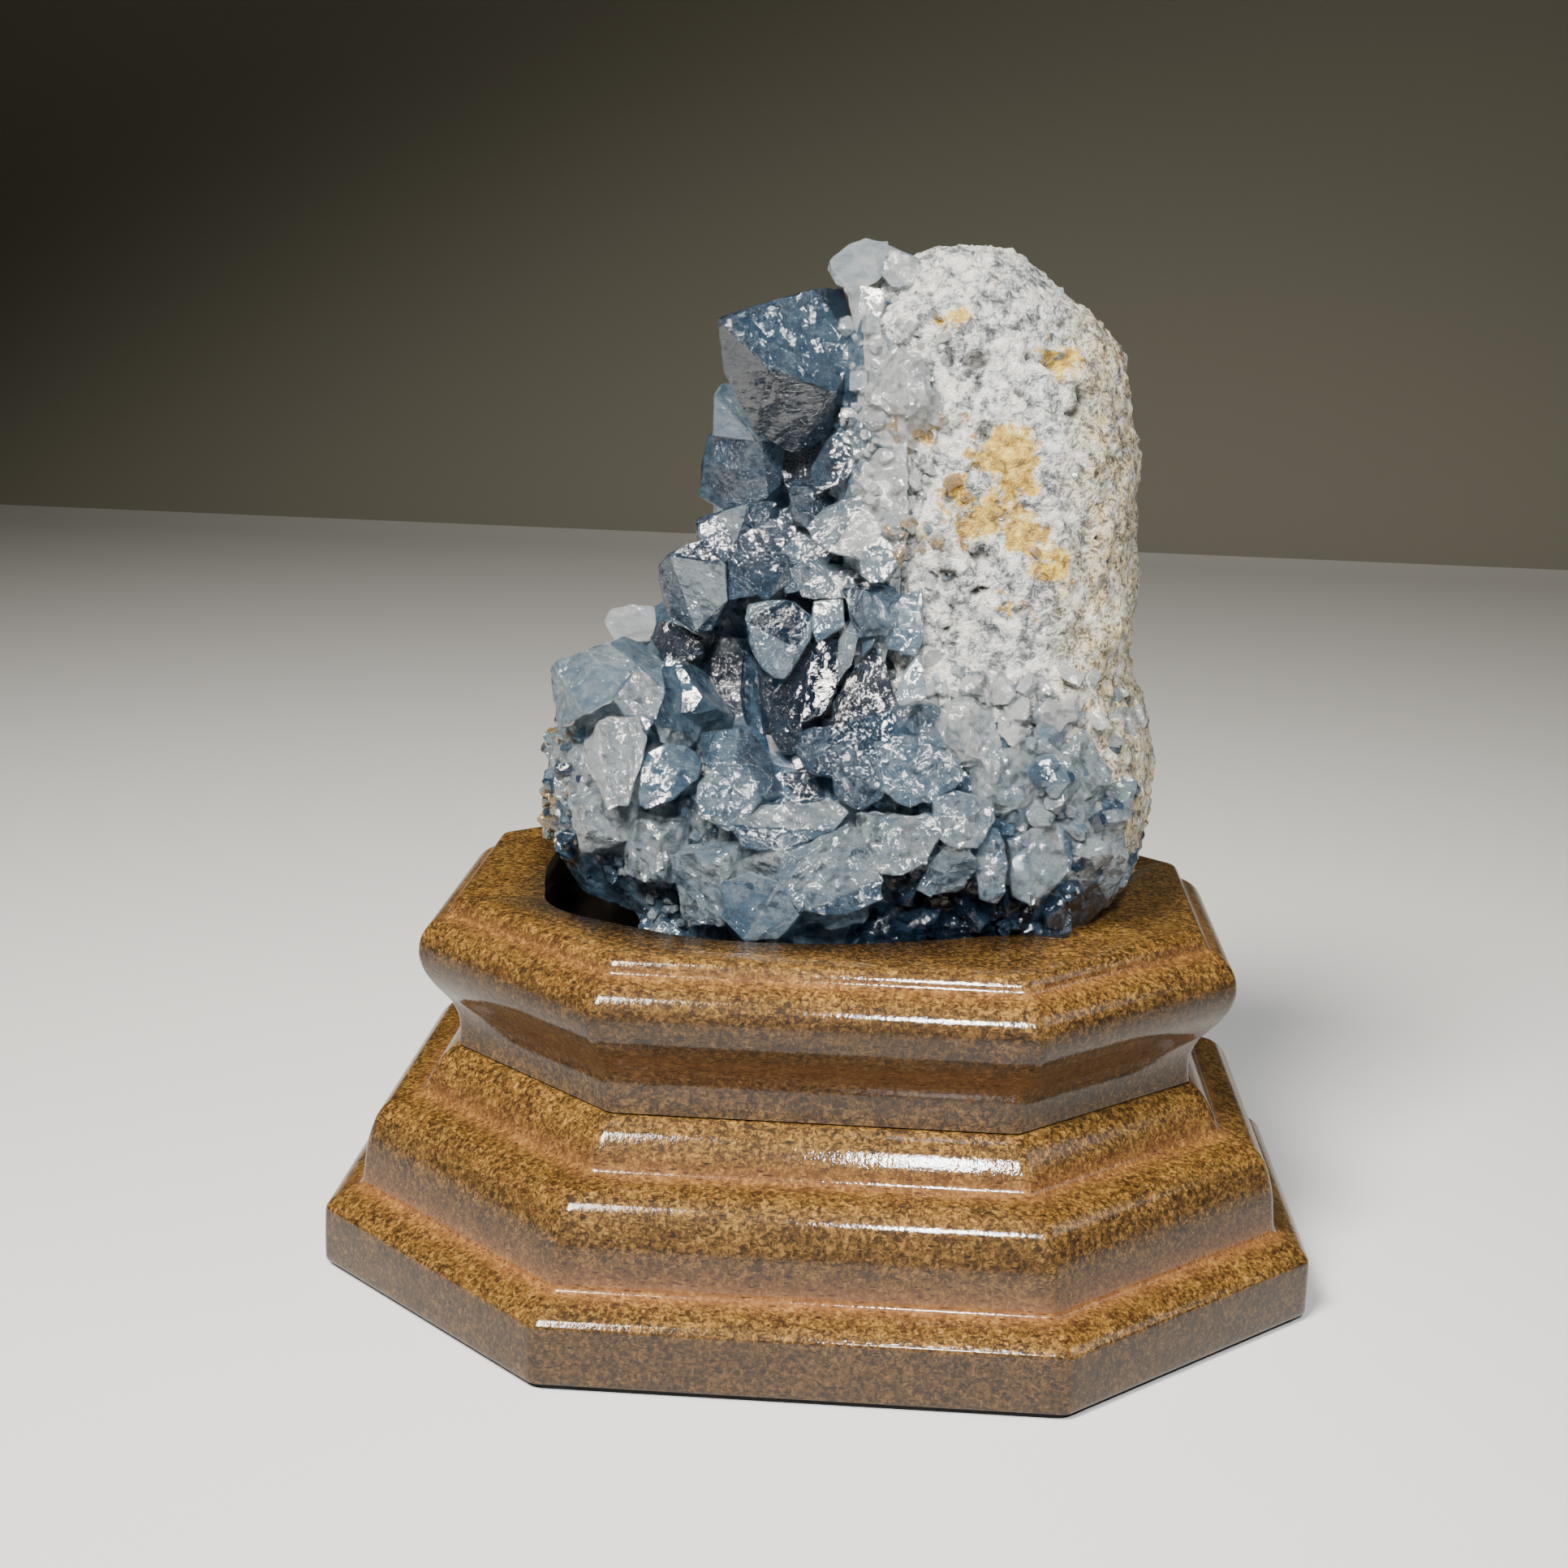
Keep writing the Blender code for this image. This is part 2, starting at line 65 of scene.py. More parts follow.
# Crystals that show best: how milky, broken and dusty each is, and the corners it shows, in mm
FACETED = [
    ("blade", (-0.18, 0.08, 0.1), [(-19.5, -20, 145.5), (-12, -14, 148), (-6, -8, 150), (-2, -3, 150),
        (1, -9, 141), (-2, -16, 135), (-11.5, -20, 138.5), (1, -9, 131.5), (-3.5, -11, 128),
        (-8, -11, 125.5), (-14, -13, 129), (-18.5, -17, 137.5), (-0.5, 5, 147), (-1.5, 3, 132),
        (-7.5, -2, 127.5), (-18, -12, 144.5)]),
    ("under_blade", (0.42, 0.1, 0.05), [(-20.5, -9, 133.5), (-19.5, -9, 135.5), (-14, -8, 136),
        (-10.5, -8, 127.5), (-13.5, -9, 127), (-20.5, -8, 127.5), (-20, 2, 134), (-11.5, 4, 131.5),
        (-12.5, 2, 125.5)]),
    ("back_upper", (0.05, 0.1, 0.1), [(-21.5, -6, 127.5), (-18, -8, 129.5), (-13.5, -9, 129),
        (-9.5, -6, 126), (-10, -7, 120.5), (-12, -8, 118.5), (-18.5, -8, 116.5), (-22.5, -5, 118),
        (-22.5, -4, 122.5), (-21.5, 6, 125.5), (-11.5, 10, 124), (-13.5, 8, 116)]),
    ("back_mid", (0.12, 0.2, 0.2), [(-19, -8, 116.5), (-14.5, -10, 118), (-10.5, -9, 118.5),
        (-10, -8, 115.5), (-13, -10, 111.5), (-17, -9, 109), (-22, -7, 111.5), (-23.5, -5, 114.5),
        (-22.5, 6, 113.5), (-12, 8, 112.5)]),
    ("back_lower", (0.12, 0.1, 0.2), [(-28, -10, 105.5), (-28, -11, 108), (-26.5, -12, 110),
        (-23, -12, 112), (-21, -12, 112.5), (-17.5, -14, 109), (-17, -13, 103.5), (-19.5, -11, 98.5),
        (-22, -11, 98), (-24.5, -10, 99.5), (-27, -8, 100.5), (-24.5, 4, 107), (-18, 4, 101),
        (-23, 4, 97)]),
    ("mid_left", (0.12, 0.1, 0.3), [(-17.5, -12, 111.5), (-14, -12, 114.5), (-10.5, -11, 116),
        (-8.5, -14, 113), (-10.5, -15, 108.5), (-13, -15, 104.5), (-17, -13, 103.5), (-14, 0, 112),
        (-10, 0, 107), (-16.5, 0, 104)]),
    ("mid_facet", (0.1, 0.2, 0.6), [(-13, -15, 105), (-10, -15, 111.5), (-8, -16, 111), (-7.5, -16, 107),
        (-11, -16, 104), (-10, -6, 108), (-12.5, -6, 104)]),
    ("mid_bright", (0.35, 0.3, 0.2), [(-9.5, -14, 112), (-6, -12, 115), (-3, -13, 114), (-0.5, -15, 112),
        (-3, -17, 109), (-6, -17, 106), (-8.5, -16, 105), (-5, -3, 111.5), (-5, -4, 105.5)]),
    ("mid_point", (0.4, 0.3, 0.2), [(-14, -18, 101), (-14, -16, 103.5), (-8, -17, 105), (-4, -18, 102.5),
        (-4, -19, 99), (-6, -20, 97.5), (-7.5, -20, 93), (-9.5, -20, 93), (-11.5, -19, 94.5),
        (-13, -18, 96.5), (-12, -5, 101.5), (-6, -5, 99), (-9.5, -8, 94.5)]),
    ("mid_small", (0.45, 0.2, 0.05), [(-4, -20, 105), (0.5, -20, 105.5), (1, -21, 101.5), (-3, -22, 99),
        (-4, -22, 100.5), (-3.5, -10, 103), (0, -10, 100.5)]),
    ("mid_band", (0.5, 0.4, 0.3), [(-7.5, -17, 109.5), (-3.5, -16, 110.5), (2, -17, 109.5),
        (2.5, -18, 105.5), (-2, -19, 105), (-6, -18, 105), (-3.5, -5, 108), (1.5, -5, 105.5)]),
    ("pale_block", (0.42, 0.3, 0.0), [(-5.5, -18, 115.5), (-3.5, -17, 118), (-0.5, -18, 119.5),
        (4.5, -18, 122), (8, -20, 119.5), (9, -22, 113), (3.5, -23, 111.5), (-2, -22, 112.5),
        (-4.5, -20, 114), (-0.5, -5, 119), (8.5, -6, 116), (2.5, -8, 111)]),
    ("pale_low", (0.62, 0.35, 0.0), [(2.5, -23, 111.5), (3.5, -23, 113), (7, -23, 113.5),
        (8.5, -24, 111.5), (6.5, -25, 109), (4.5, -25, 108.5), (3, -24, 109.5), (5, -12, 110.5)]),
    ("jagged_dark", (0.1, 0.9, 0.15), [(0.5, -21, 107), (3.5, -21, 108.5), (7, -22, 108), (7, -22, 105),
        (5, -23, 101.5), (3, -23, 101), (1.5, -22, 103), (4, -10, 104)]),
    ("grey_slab", (0.4, 0.2, 0.2), [(6.5, -23, 103.5), (9, -22, 106.5), (12, -22, 108), (12.5, -24, 101.5),
        (11.5, -25, 98), (7, -24, 99), (10, -10, 103), (11, -12, 97)]),
    ("shard_long", (0.5, 0.2, 0.4), [(0, -22, 92.5), (0, -21, 99.5), (3, -21, 104.5), (3.5, -22, 102),
        (2, -23, 96), (1.5, -14, 98.5)]),
    ("shard_two", (0.55, 0.2, 0.4), [(3.5, -22, 97), (3.5, -21, 101.5), (7.5, -21, 106.5), (7, -22, 102),
        (5, -23, 99), (5.5, -13, 101)]),
    ("dusty_block", (-0.15, 0.3, 0.9), [(-4, -17, 98), (0, -17, 100), (1, -18, 97.5), (0, -21, 92),
        (-1.5, -22, 88.5), (-5, -22, 87), (-8, -20, 85.5), (-10, -19, 84), (-10, -18, 87.5),
        (-9.5, -17, 90), (-7.5, -16, 92.5), (-4.5, -4, 92.5), (-1.5, -6, 86.5), (-9, -6, 85)]),
    ("dusty_round", (0.05, 0.2, 0.6), [(-9.5, -20, 84.5), (-8, -21, 86.5), (-5, -22, 87),
        (-4.5, -22, 85.5), (-6, -22, 82), (-8, -21, 82), (-7.5, -10, 82)]),
    ("dark_wedge", (-0.15, 0.3, 0.8), [(5.5, -20, 99), (7, -21, 97), (9, -24, 90.5), (6, -25, 89.5),
        (-0.5, -27, 86), (-0.5, -24, 89.5), (1.5, -22, 94.5), (4.5, -8, 93.5), (7, -10, 88),
        (0, -12, 85.5)]),
    ("dark_low", (0.15, 0.7, 0.5), [(-0.5, -27, 86), (6, -26, 90), (9, -26, 89.5), (7, -29, 84),
        (2, -30, 80.5), (-3, -28, 80.5), (-6, -25, 83.5), (-5, -24, 85.5), (-1.5, -12, 84), (6, -14, 83.5),
        (-1, -16, 78.5)]),
    ("chip", (0.6, 0.4, 0.0), [(11.5, -31, 99.5), (13, -32, 97.5), (13.5, -33, 93.5), (9.5, -33, 92),
        (8.5, -32, 93.5), (9.5, -31, 96), (11.5, -28, 98), (13, -29, 93), (9.5, -29, 92.5)]),
    ("row_one", (0.3, 0.7, 0.4), [(7, -26, 89.5), (8.5, -26, 91), (14.5, -27, 91.5), (18, -28, 88.5),
        (17, -30, 86), (11, -31, 85), (7, -29, 85), (8.5, -12, 87), (16, -12, 85)]),
    ("row_three", (0.5, 1.0, 0.0), [(6, -31, 86.5), (10, -32, 87), (14.5, -33, 87), (18.5, -32, 84),
        (19.5, -33, 82), (16, -35, 79.5), (11.5, -35, 77.5), (7.5, -34, 80), (9, -16, 81.5),
        (17.5, -16, 79.5)]),
    ("row_two", (0.3, 1.0, 0.1), [(0, -30, 82), (1.5, -29, 84.5), (6.5, -32, 85.5), (8.5, -33, 82.5),
        (8, -33, 78.5), (4.5, -32, 76), (1, -30, 77.5), (2.5, -14, 79.5), (6.5, -16, 75)]),
    ("glint", (0.5, 1.0, 0.0), [(4, -32, 76), (7, -36, 76.5), (15, -37, 77.5), (16.5, -37, 74.5),
        (14, -37, 70), (11, -37, 68), (8, -36, 68), (4.5, -33, 71.5), (7, -16, 70), (14.5, -16, 68)]),
    ("front_a", (0.45, 0.7, 0.0), [(15, -36, 79.5), (18, -36, 81), (23.5, -35, 79.5), (24, -35, 76.5),
        (21.5, -36, 72.5), (18, -37, 72.5), (15, -37, 74.5), (17.5, -18, 75), (23.5, -18, 71.5)]),
    ("front_single", (0.5, 0.5, 0.0), [(23, -34, 75.5), (24.5, -35, 75.5), (26, -36, 71), (26, -35, 66),
        (25, -34, 64), (22.5, -34, 64.5), (21.5, -34, 68), (21.5, -34, 72), (24.5, -22, 70),
        (25, -24, 64)]),
    ("front_b", (0.35, 0.6, 0.0), [(15.5, -35, 71), (17, -36, 73), (20.5, -36, 73), (22, -35, 69),
        (19, -34, 65.5), (15.5, -34, 64.5), (13, -34, 65.5), (17.5, -18, 66), (19.5, -18, 62.5)]),
    ("front_c", (0.3, 0.6, 0.0), [(26, -32, 73), (29, -32, 75), (33.5, -30, 75.5), (36, -28, 73),
        (35.5, -30, 68), (30, -32, 63.5), (27, -32, 64.5), (30.5, -14, 68.5), (34.5, -14, 63.5)]),
    ("lobe_left", (0.65, 0.3, 0.0), [(-44, -14, 91.5), (-43.5, -14, 93), (-38, -16, 95.5),
        (-35, -14, 96.5), (-30, -20, 94.5), (-31.5, -24, 91.5), (-33, -25, 89.5), (-37, -24, 87),
        (-41.5, -18, 83.5), (-43, -16, 87.5), (-43, 0, 89), (-35.5, 0, 90.5), (-41.5, -2, 83)]),
    ("lobe_top", (0.4, 0.15, 0.05), [(-35, -12, 96), (-33, -10, 97), (-30, -9, 95.5), (-26.5, -10, 93),
        (-27, -14, 92.5), (-30.5, -19, 93.5), (-34, -15, 95), (-33, 2, 93), (-29.5, 0, 89.5)]),
    ("lobe_mid", (0.45, 0.3, 0.05), [(-31.5, -23, 92.5), (-29.5, -22, 94.5), (-26, -20, 94),
        (-25, -23, 91), (-26, -26, 87.5), (-27.5, -27, 85), (-31, -27, 88), (-32.5, -26, 90),
        (-30.5, -6, 88), (-30.5, -8, 83)]),
    ("lobe_right", (0.35, 0.2, 0.0), [(-26.5, -16, 93.5), (-24.5, -14, 93.5), (-22, -12, 91.5),
        (-20, -12, 89.5), (-20, -15, 86), (-20.5, -18, 83), (-22, -20, 81.5), (-25.5, -25, 83.5),
        (-26.5, -26, 87), (-26, -22, 91), (-23.5, 0, 87), (-23, -4, 81.5), (-27, -4, 86.5)]),
    ("lobe_low", (0.75, 0.5, 0.0), [(-35, -26, 86.5), (-33, -26, 87.5), (-28.5, -28, 88), (-27, -29, 85),
        (-28.5, -30, 79), (-29.5, -30, 75), (-32.5, -29, 74.5), (-36, -26, 79), (-37, -24, 83),
        (-34.5, -8, 81.5), (-32.5, -10, 72)]),
    ("lobe_inner", (0.45, 0.3, 0.0), [(-27.5, -28, 82.5), (-24.5, -27, 84), (-21.5, -25, 83.5),
        (-19, -25, 81.5), (-19.5, -28, 79), (-23, -31, 76.5), (-27, -32, 74.5), (-28, -31, 78),
        (-26, -10, 78.5), (-23.5, -12, 74)]),
    ("lobe_back", (0.8, 0.1, 0.1), [(-37.5, 0, 97.5), (-36.5, 0, 99.5), (-33, 0, 100.5), (-29.5, 1, 100),
        (-29, 0, 97.5), (-30, 0, 94.5), (-35.5, 0, 94), (-34, 10, 97), (-32.5, 10, 94.5)]),
    ("behind_brown", (-0.1, 0.3, 0.9), [(-30, -2, 95.5), (-28, -3, 98.5), (-24.5, -5, 98), (-21, -6, 96.5),
        (-21, -6, 94), (-23.5, -7, 92.5), (-27, -6, 92.5), (-27, 6, 95), (-24.5, 6, 92.5)]),
    ("ochre_top", (0.25, 0.4, 0.5), [(-20, -22, 85), (-17.5, -22, 85.5), (-14, -21, 85.5),
        (-11.5, -20, 84), (-9.5, -21, 81.5), (-7, -25, 76.5), (-10.5, -29, 76), (-14, -30, 79.5),
        (-19, -28, 81.5), (-18, -6, 81), (-11, -8, 76.5), (-16, -8, 75)]),
    ("sparkle", (0.4, 0.9, 0.0), [(-19, -30, 80), (-16.5, -30, 82), (-12, -30, 82), (-10, -31, 77),
        (-11, -32, 75.5), (-14.5, -33, 72), (-18, -33, 74), (-19.5, -32, 77), (-17, -14, 76),
        (-14, -16, 71.5)]),
    ("long_dark", (0.2, 0.4, 0.3), [(-12.5, -30, 76), (-8.5, -29, 76.5), (-3, -28, 77), (1.5, -28, 77),
        (3, -30, 75.5), (1, -33, 73.5), (-6.5, -36, 70.5), (-12, -35, 70.5), (-14, -34, 73.5),
        (-8, -14, 71.5), (-0.5, -14, 70.5)]),
    ("pit_wedge", (-0.1, 0.3, 0.3), [(-7.5, -22, 79.5), (-3, -22, 80), (-0.5, -24, 77), (-1.5, -26, 76),
        (-5.5, -25, 76), (-7, -23, 77.5), (-5, -10, 75)]),
    ("foot_mid", (0.45, 0.8, 0.3), [(-6.5, -36, 70.5), (1, -35, 74), (4.5, -34, 74.5), (8.5, -35, 67.5),
        (8, -35, 64), (3, -36, 61.5), (-3.5, -37, 62), (-7, -37, 66), (-3, -18, 65), (6, -18, 61.5)]),
    ("foot_blue", (0.5, 0.3, 0.0), [(-15, -35, 65.5), (-11, -36, 67.5), (-6.5, -37, 66.5),
        (-3.5, -37, 61.5), (-6.5, -36, 57.5), (-11.5, -36, 57), (-15, -35, 60), (-12.5, -18, 59.5),
        (-7.5, -18, 56)]),
    ("top_clear", (0.8, 0.05, 0.0), [(-4.5, -3, 152.5), (-4.5, -3, 154), (-1.5, -2, 156.5), (1, -1, 157.5),
        (4.5, -2, 157), (5.5, -7, 153.5), (3, -9, 151), (-0.5, -9, 149.5), (-3, -6, 150.5), (-1, 8, 154),
        (4, 6, 153)]),
    ("top_grey", (0.85, 0.1, 0.0), [(2, -2, 156.5), (5, -3, 156.5), (9, -5, 155), (11.5, -8, 153.5),
        (9, -11, 151), (5.5, -11, 150.5), (3.5, -9, 152.5), (5, 8, 154.5), (9, 6, 153)]),
    ("top_pale", (0.8, 0.2, 0.0), [(-1.5, -9, 150), (1, -11, 151), (4.5, -12, 150), (4.5, -13, 147),
        (3, -13, 144), (1, -13, 142), (0, -11, 145.5), (2, 0, 148.5), (2, -2, 145)]),
    ("top_blue", (0.4, 0.1, 0.1), [(1.5, -14, 142.5), (3.5, -15, 144.5), (6, -17, 143), (6.5, -18, 140),
        (5, -18, 138.5), (2.5, -16, 139.5), (4, -4, 141.5)]),
    ("top_low", (0.6, 0.5, 0.3), [(-0.5, -12, 138.5), (1.5, -13, 141.5), (3, -16, 139), (4.5, -17, 136),
        (2, -14, 133.5), (1.5, -12, 135.5), (2, -2, 137.5), (2.5, -2, 135)]),
    ("shell", (0.1, 0.3, 0.9), [(-5.5, -13, 124), (-4, -14, 126.5), (-2, -15, 129.5), (1, -14, 131),
        (3, -15, 129.5), (2, -17, 125.5), (0, -18, 122.5), (-4.5, -17, 120), (-2, -3, 126.5),
        (0.5, -4, 123)]),
    ("deep_one", (-0.2, 0.0, 0.1), [(-22.5, 2, 93.5), (-20, 0, 96.5), (-14.5, 0, 95.5), (-13, -2, 92),
        (-13.5, -4, 84.5), (-17.5, -5, 81.5), (-20.5, -5, 82.5), (-22, -2, 87.5), (-20, 14, 91.5),
        (-16.5, 12, 81.5)]),
    ("deep_two", (-0.2, 0.0, 0.1), [(-15, -6, 95), (-12.5, -10, 93.5), (-9.5, -12, 90), (-10, -13, 85),
        (-11, -12, 81.5), (-14, -8, 82.5), (-15.5, -5, 88.5), (-14, 6, 89), (-13, 6, 81.5)]),
    # painted highlight: a small wedge, fully milky, stands for a glint of light seen through the hollow
    ("painted_glint_wedge", (1.0, 0.0, 0.0), [(-10.5, -17, 84), (-9.5, -17, 84), (-7.5, -17, 81.5),
        (-8, -17, 80.5), (-9.5, -17, 81), (-9.5, -12, 82)]),
]

# Crystals between them: tip, root, width, height, turn, the ridge's share of the height, then how milky,
# broken and dusty
PRISMS = [
    ((-22, -9, 112), (-11, 6, 108), 8, 8, 25, 0.5, 0.3, 0.2, 0.3),
    ((-9, -6, 124), (0, 6, 119), 7, 8, 0, 0.5, 0.0, 0.2, 0.5),
    ((-9, -14, 118), (3, -1, 120), 8, 6, 0, 0.5, 0.2, 0.6, 1.0),
    ((-13, -10, 112), (-1, 4, 109), 9, 9, 30, 0.5, 0.2, 0.3, 0.5),
    ((4, -24, 105), (10, -7, 99), 8, 8, 10, 0.5, 0.3, 0.6, 0.2),
    ((40, -19, 64), (43, -6, 68), 10, 8, 30, 0.5, 0.3, 0.7, 0.0),
    ((25, -33, 82), (26, -15, 80), 10, 9, 10, 0.5, 0.7, 0.9, 0.0),
    ((35, -29, 82), (35, -12, 79), 11, 10, 35, 0.5, 0.7, 0.9, 0.0),
    ((41, -20, 87), (39, -6, 85), 9, 8, 0, 0.5, 0.7, 0.9, 0.0),
    ((19, -32, 88), (20, -14, 87), 9, 9, 20, 0.5, 0.8, 0.9, 0.0),
    ((-34, -27, 73), (-32, -11, 68), 10, 9, 20, 0.5, 0.7, 0.8, 0.0),
    ((-26, -31, 68), (-25, -13, 67), 10, 9, 0, 0.5, 0.7, 0.8, 0.0),
    ((-16, -35, 64), (-17, -17, 64), 12, 11, 15, 0.8, 0.6, 0.7, 0.0),
    ((-6, -36, 66), (-8, -17, 66), 12, 11, 40, 0.8, 0.6, 0.7, 0.0),
    ((1, -35, 63), (0, -17, 64), 10, 9, 10, 0.5, 0.5, 0.7, 0.0),
    ((-21, -16, 92), (-26, -5, 77), 11, 10, 15, 0.7, 0.4, 0.2, 0.0),
]

SEED = 11
PATCH_SEED = 1795602957  # which way the broken patches of the crystals slope
STONE_SHOWS = 49.0  # height above which the stone is worked; below it, it sits in the recess as modelled
ROOT_LENGTH = 4.0  # how far those crystals go on behind their root
CRUST_THICKNESS = 2.4  # of the layer that the crystals grow from
EDGE_WEAR = 0.2  # width of the crystals' broken edges
ROCK_VOXEL = 0.7  # finest form of the rock
FRACTURE_EDGE = 1.5  # longest edge left on the crystals' faces
FRACTURE_PATCH = 3.4  # width of a patch that broke off flat

# Where crystals cover the rock, as ellipsoids: middle and radii
CRYSTAL_ZONES = [
    ((-34, -26, 118), (44, 40, 66)),
    ((-2, -44, 66), (60, 34, 31)),
    ((-32, -16, 84), (27, 26, 24)),
]

# Ochre stains: middle and reach
OCHRE_SPOTS = [
    ((14, -20, 147), 7), ((15, -19, 151), 4), ((10, -22, 131), 6), ((7, -22, 133), 4), ((23, -24, 128), 9),
    ((25, -24, 123), 8), ((20, -25, 120), 9), ((27, -25, 116), 6), ((16, -24, 123), 6), ((19, -26, 107), 4),
    ((10, -24, 114), 6), ((27, -26, 105), 8), ((31, -17, 143), 7), ((23, -14, 154), 5), ((17, -23, 134), 4),
    ((31, -24, 112), 7), ((-42, -20, 86), 5), ((-42, -19, 80), 6), ((-41, -19, 75), 5),
]


def linear(code):
    """A colour given as an sRGB hex code, as the shaders want it."""
    channels = [int(code[i:i + 2], 16) / 255 for i in (1, 3, 5)]
    return [c / 12.92 if c <= 0.04045 else ((c + 0.055) / 1.055) ** 2.4 for c in channels] + [1.0]


def add(material, kind, inputs, out=0, stops=(), **options):
    """Add a node to a material: its inputs by name or number, its options, and a ramp's stops. Inputs that
    are sockets are linked. Returns the output asked for."""
    node = material.node_tree.nodes.new("ShaderNode" + kind)
    for option, value in options.items():
        setattr(node, option, value)
    for key, value in inputs.items():
        if isinstance(value, bpy.types.NodeSocket):
            material.node_tree.links.new(value, node.inputs[key])
        else:
            node.inputs[key].default_value = linear(value) if isinstance(value, str) else value
    while stops and len(node.color_ramp.elements) < len(stops):
        node.color_ramp.elements.new(0.5)
    for number, (position, value) in enumerate(stops):
        colour = linear(value) if isinstance(value, str) else (value,) * 3 + (1,)
        node.color_ramp.elements[number].position = position
        node.color_ramp.elements[number].color = colour
    return node.outputs[out]


def new_material(name, **values):
    """A Principled material; values are plain numbers for its sockets."""
    material = bpy.data.materials.new(name)
    material.use_nodes = True
    shader = material.node_tree.nodes["Principled BSDF"]
    for key, value in values.items():
        shader.inputs[key.replace("_", " ")].default_value = value
    return material, shader


def lacquered_mdf():
    """Medium-density fibreboard, routed, stained amber and coated with clear gloss lacquer: a felt of short
    fibres and dark specks shows through a glassy skin, and the stain pools in the creases."""
    m, shader = new_material("lacquered_mdf", IOR=1.5, Specular_IOR_Level=0.12, Coat_Weight=0.6,
                             Coat_Roughness=0.06)
    link = m.node_tree.links.new
    where = add(m, "TexCoord", {}, "Object")
    mm = add(m, "Mapping", {"Vector": where, "Scale": (1000, 1000, 1000)})
    # fibre bundles are 0.5 to 1.5 mm across, and the stain varies over 10 to 20 mm
    mottle = add(m, "TexNoise", {
        "Vector": mm, "Scale": 1 / 0.75, "Detail": 5, "Roughness": 0.7, "Distortion": 0.8})
    patches = add(m, "TexNoise", {"Vector": mm, "Scale": 1 / 4, "Detail": 3, "Roughness": 0.6})
    broad = add(m, "TexNoise", {"Vector": mm, "Scale": 1 / 16, "Detail": 3})
    depth = add(m, "Math", {0: patches, 1: 0.22, 2: mottle}, operation="MULTIPLY_ADD")
    depth = add(m, "Math", {0: depth, 1: 0.08}, operation="SUBTRACT")
    tone = add(m, "ValToRGB", {"Fac": depth}, stops=[
        (0.42, "#261807"), (0.5, "#463010"), (0.58, "#684b20"), (0.7, "#937038")])
    up = add(m, "SeparateXYZ", {0: add(m, "NewGeometry", {}, "Normal")}, "Z")
    # painted shade: upright faces are painted darker than upward ones, by how steeply they face
    steep = add(m, "ValToRGB", {"Fac": up}, stops=[(0.05, 0.8), (0.6, 0.0)])
    upright_shade = add(m, "ValToRGB", {"Fac": depth}, stops=[(0.42, "#140d07"), (0.55, "#281b10"), (0.7, "#3f2e1e")])
    patch = add(m, "ValToRGB", {"Fac": broad}, stops=[(0.4, 0.0), (0.7, 0.2)])
    stain = add(m, "Attribute", {}, "Fac", attribute_name="stain")
    stain = add(m, "Math", {0: stain, 1: 0.32}, operation="MULTIPLY")
    for share, colour in ((steep, upright_shade), (patch, "#35260a"), (stain, "#94603a")):
        tone = add(m, "Mix", {0: share, 6: tone, 7: colour}, 2, data_type="RGBA")
    # single dark fibres, 1.5 mm long and 0.3 mm thick, lying in three directions
    for turn, colour in (
            ((0.3, 0.2, 0.4), "#140a04"), ((0.9, -0.5, 1.4), "#2a1808"), ((-0.6, 0.8, 2.3), "#0f0804")):
        along = add(m, "Mapping", {"Vector": where, "Rotation": turn, "Scale": (500, 2000, 2000)})
        fibre = add(m, "TexVoronoi", {"Vector": along, "Scale": 1.0}, "Distance")
        near = add(m, "ValToRGB", {"Fac": fibre}, stops=[(0.18, 0.75), (0.32, 0.0)])
        some = add(m, "ValToRGB", {"Fac": fibre.node.outputs["Color"]}, stops=[(0.62, 0.0), (0.66, 1.0)])
        dark = add(m, "Math", {0: near, 1: some}, operation="MULTIPLY")
        tone = add(m, "Mix", {0: dark, 6: tone, 7: colour}, 2, data_type="RGBA")
    # painted shade: the recess's wall and floor are painted near-black
    inside = add(m, "Attribute", {}, "Fac", attribute_name="inside")
    tone = add(m, "Mix", {0: inside, 6: tone, 7: "#0b0704"}, 2, data_type="RGBA")
    link(tone, shader.inputs["Base Color"])
    ripple = add(m, "TexNoise", {"Vector": mm, "Scale": 1 / 0.8, "Detail": 3, "Roughness": 0.6})
    swell = add(m, "TexNoise", {"Vector": mm, "Scale": 1 / 4, "Detail": 1})
    height = add(m, "Math", {0: swell, 1: 0.5, 2: ripple}, operation="MULTIPLY_ADD")
    bump = add(m, "Bump", {"Height": height, "Strength": 0.6, "Distance": 0.00006})
    link(bump, shader.inputs["Normal"])
    link(bump, shader.inputs["Coat Normal"])
    link(add(m, "MapRange", {0: mottle, 3: 0.55, 4: 0.75}), shader.inputs["Roughness"])
    return m


def wool_felt():
    """Black wool felt under the stand: dull, with a faint nap."""
    m, shader = new_material("wool_felt", Roughness=0.95)
    mm = add(m, "Mapping", {"Vector": add(m, "TexCoord", {}, "Object"), "Scale": (1000, 1000, 1000)})
    nap = add(m, "TexNoise", {"Vector": mm, "Scale": 2.0, "Detail": 4, "Roughness": 0.7})
    link = m.node_tree.links.new
    tone = add(m, "ValToRGB", {"Fac": nap}, stops=[(0.3, "#0b0b0c"), (0.7, "#1d1c1d")])
    link(tone, shader.inputs["Base Color"])
    link(add(m, "Bump", {"Height": nap, "Strength": 0.7, "Distance": 0.0004}), shader.inputs["Normal"])
    return m


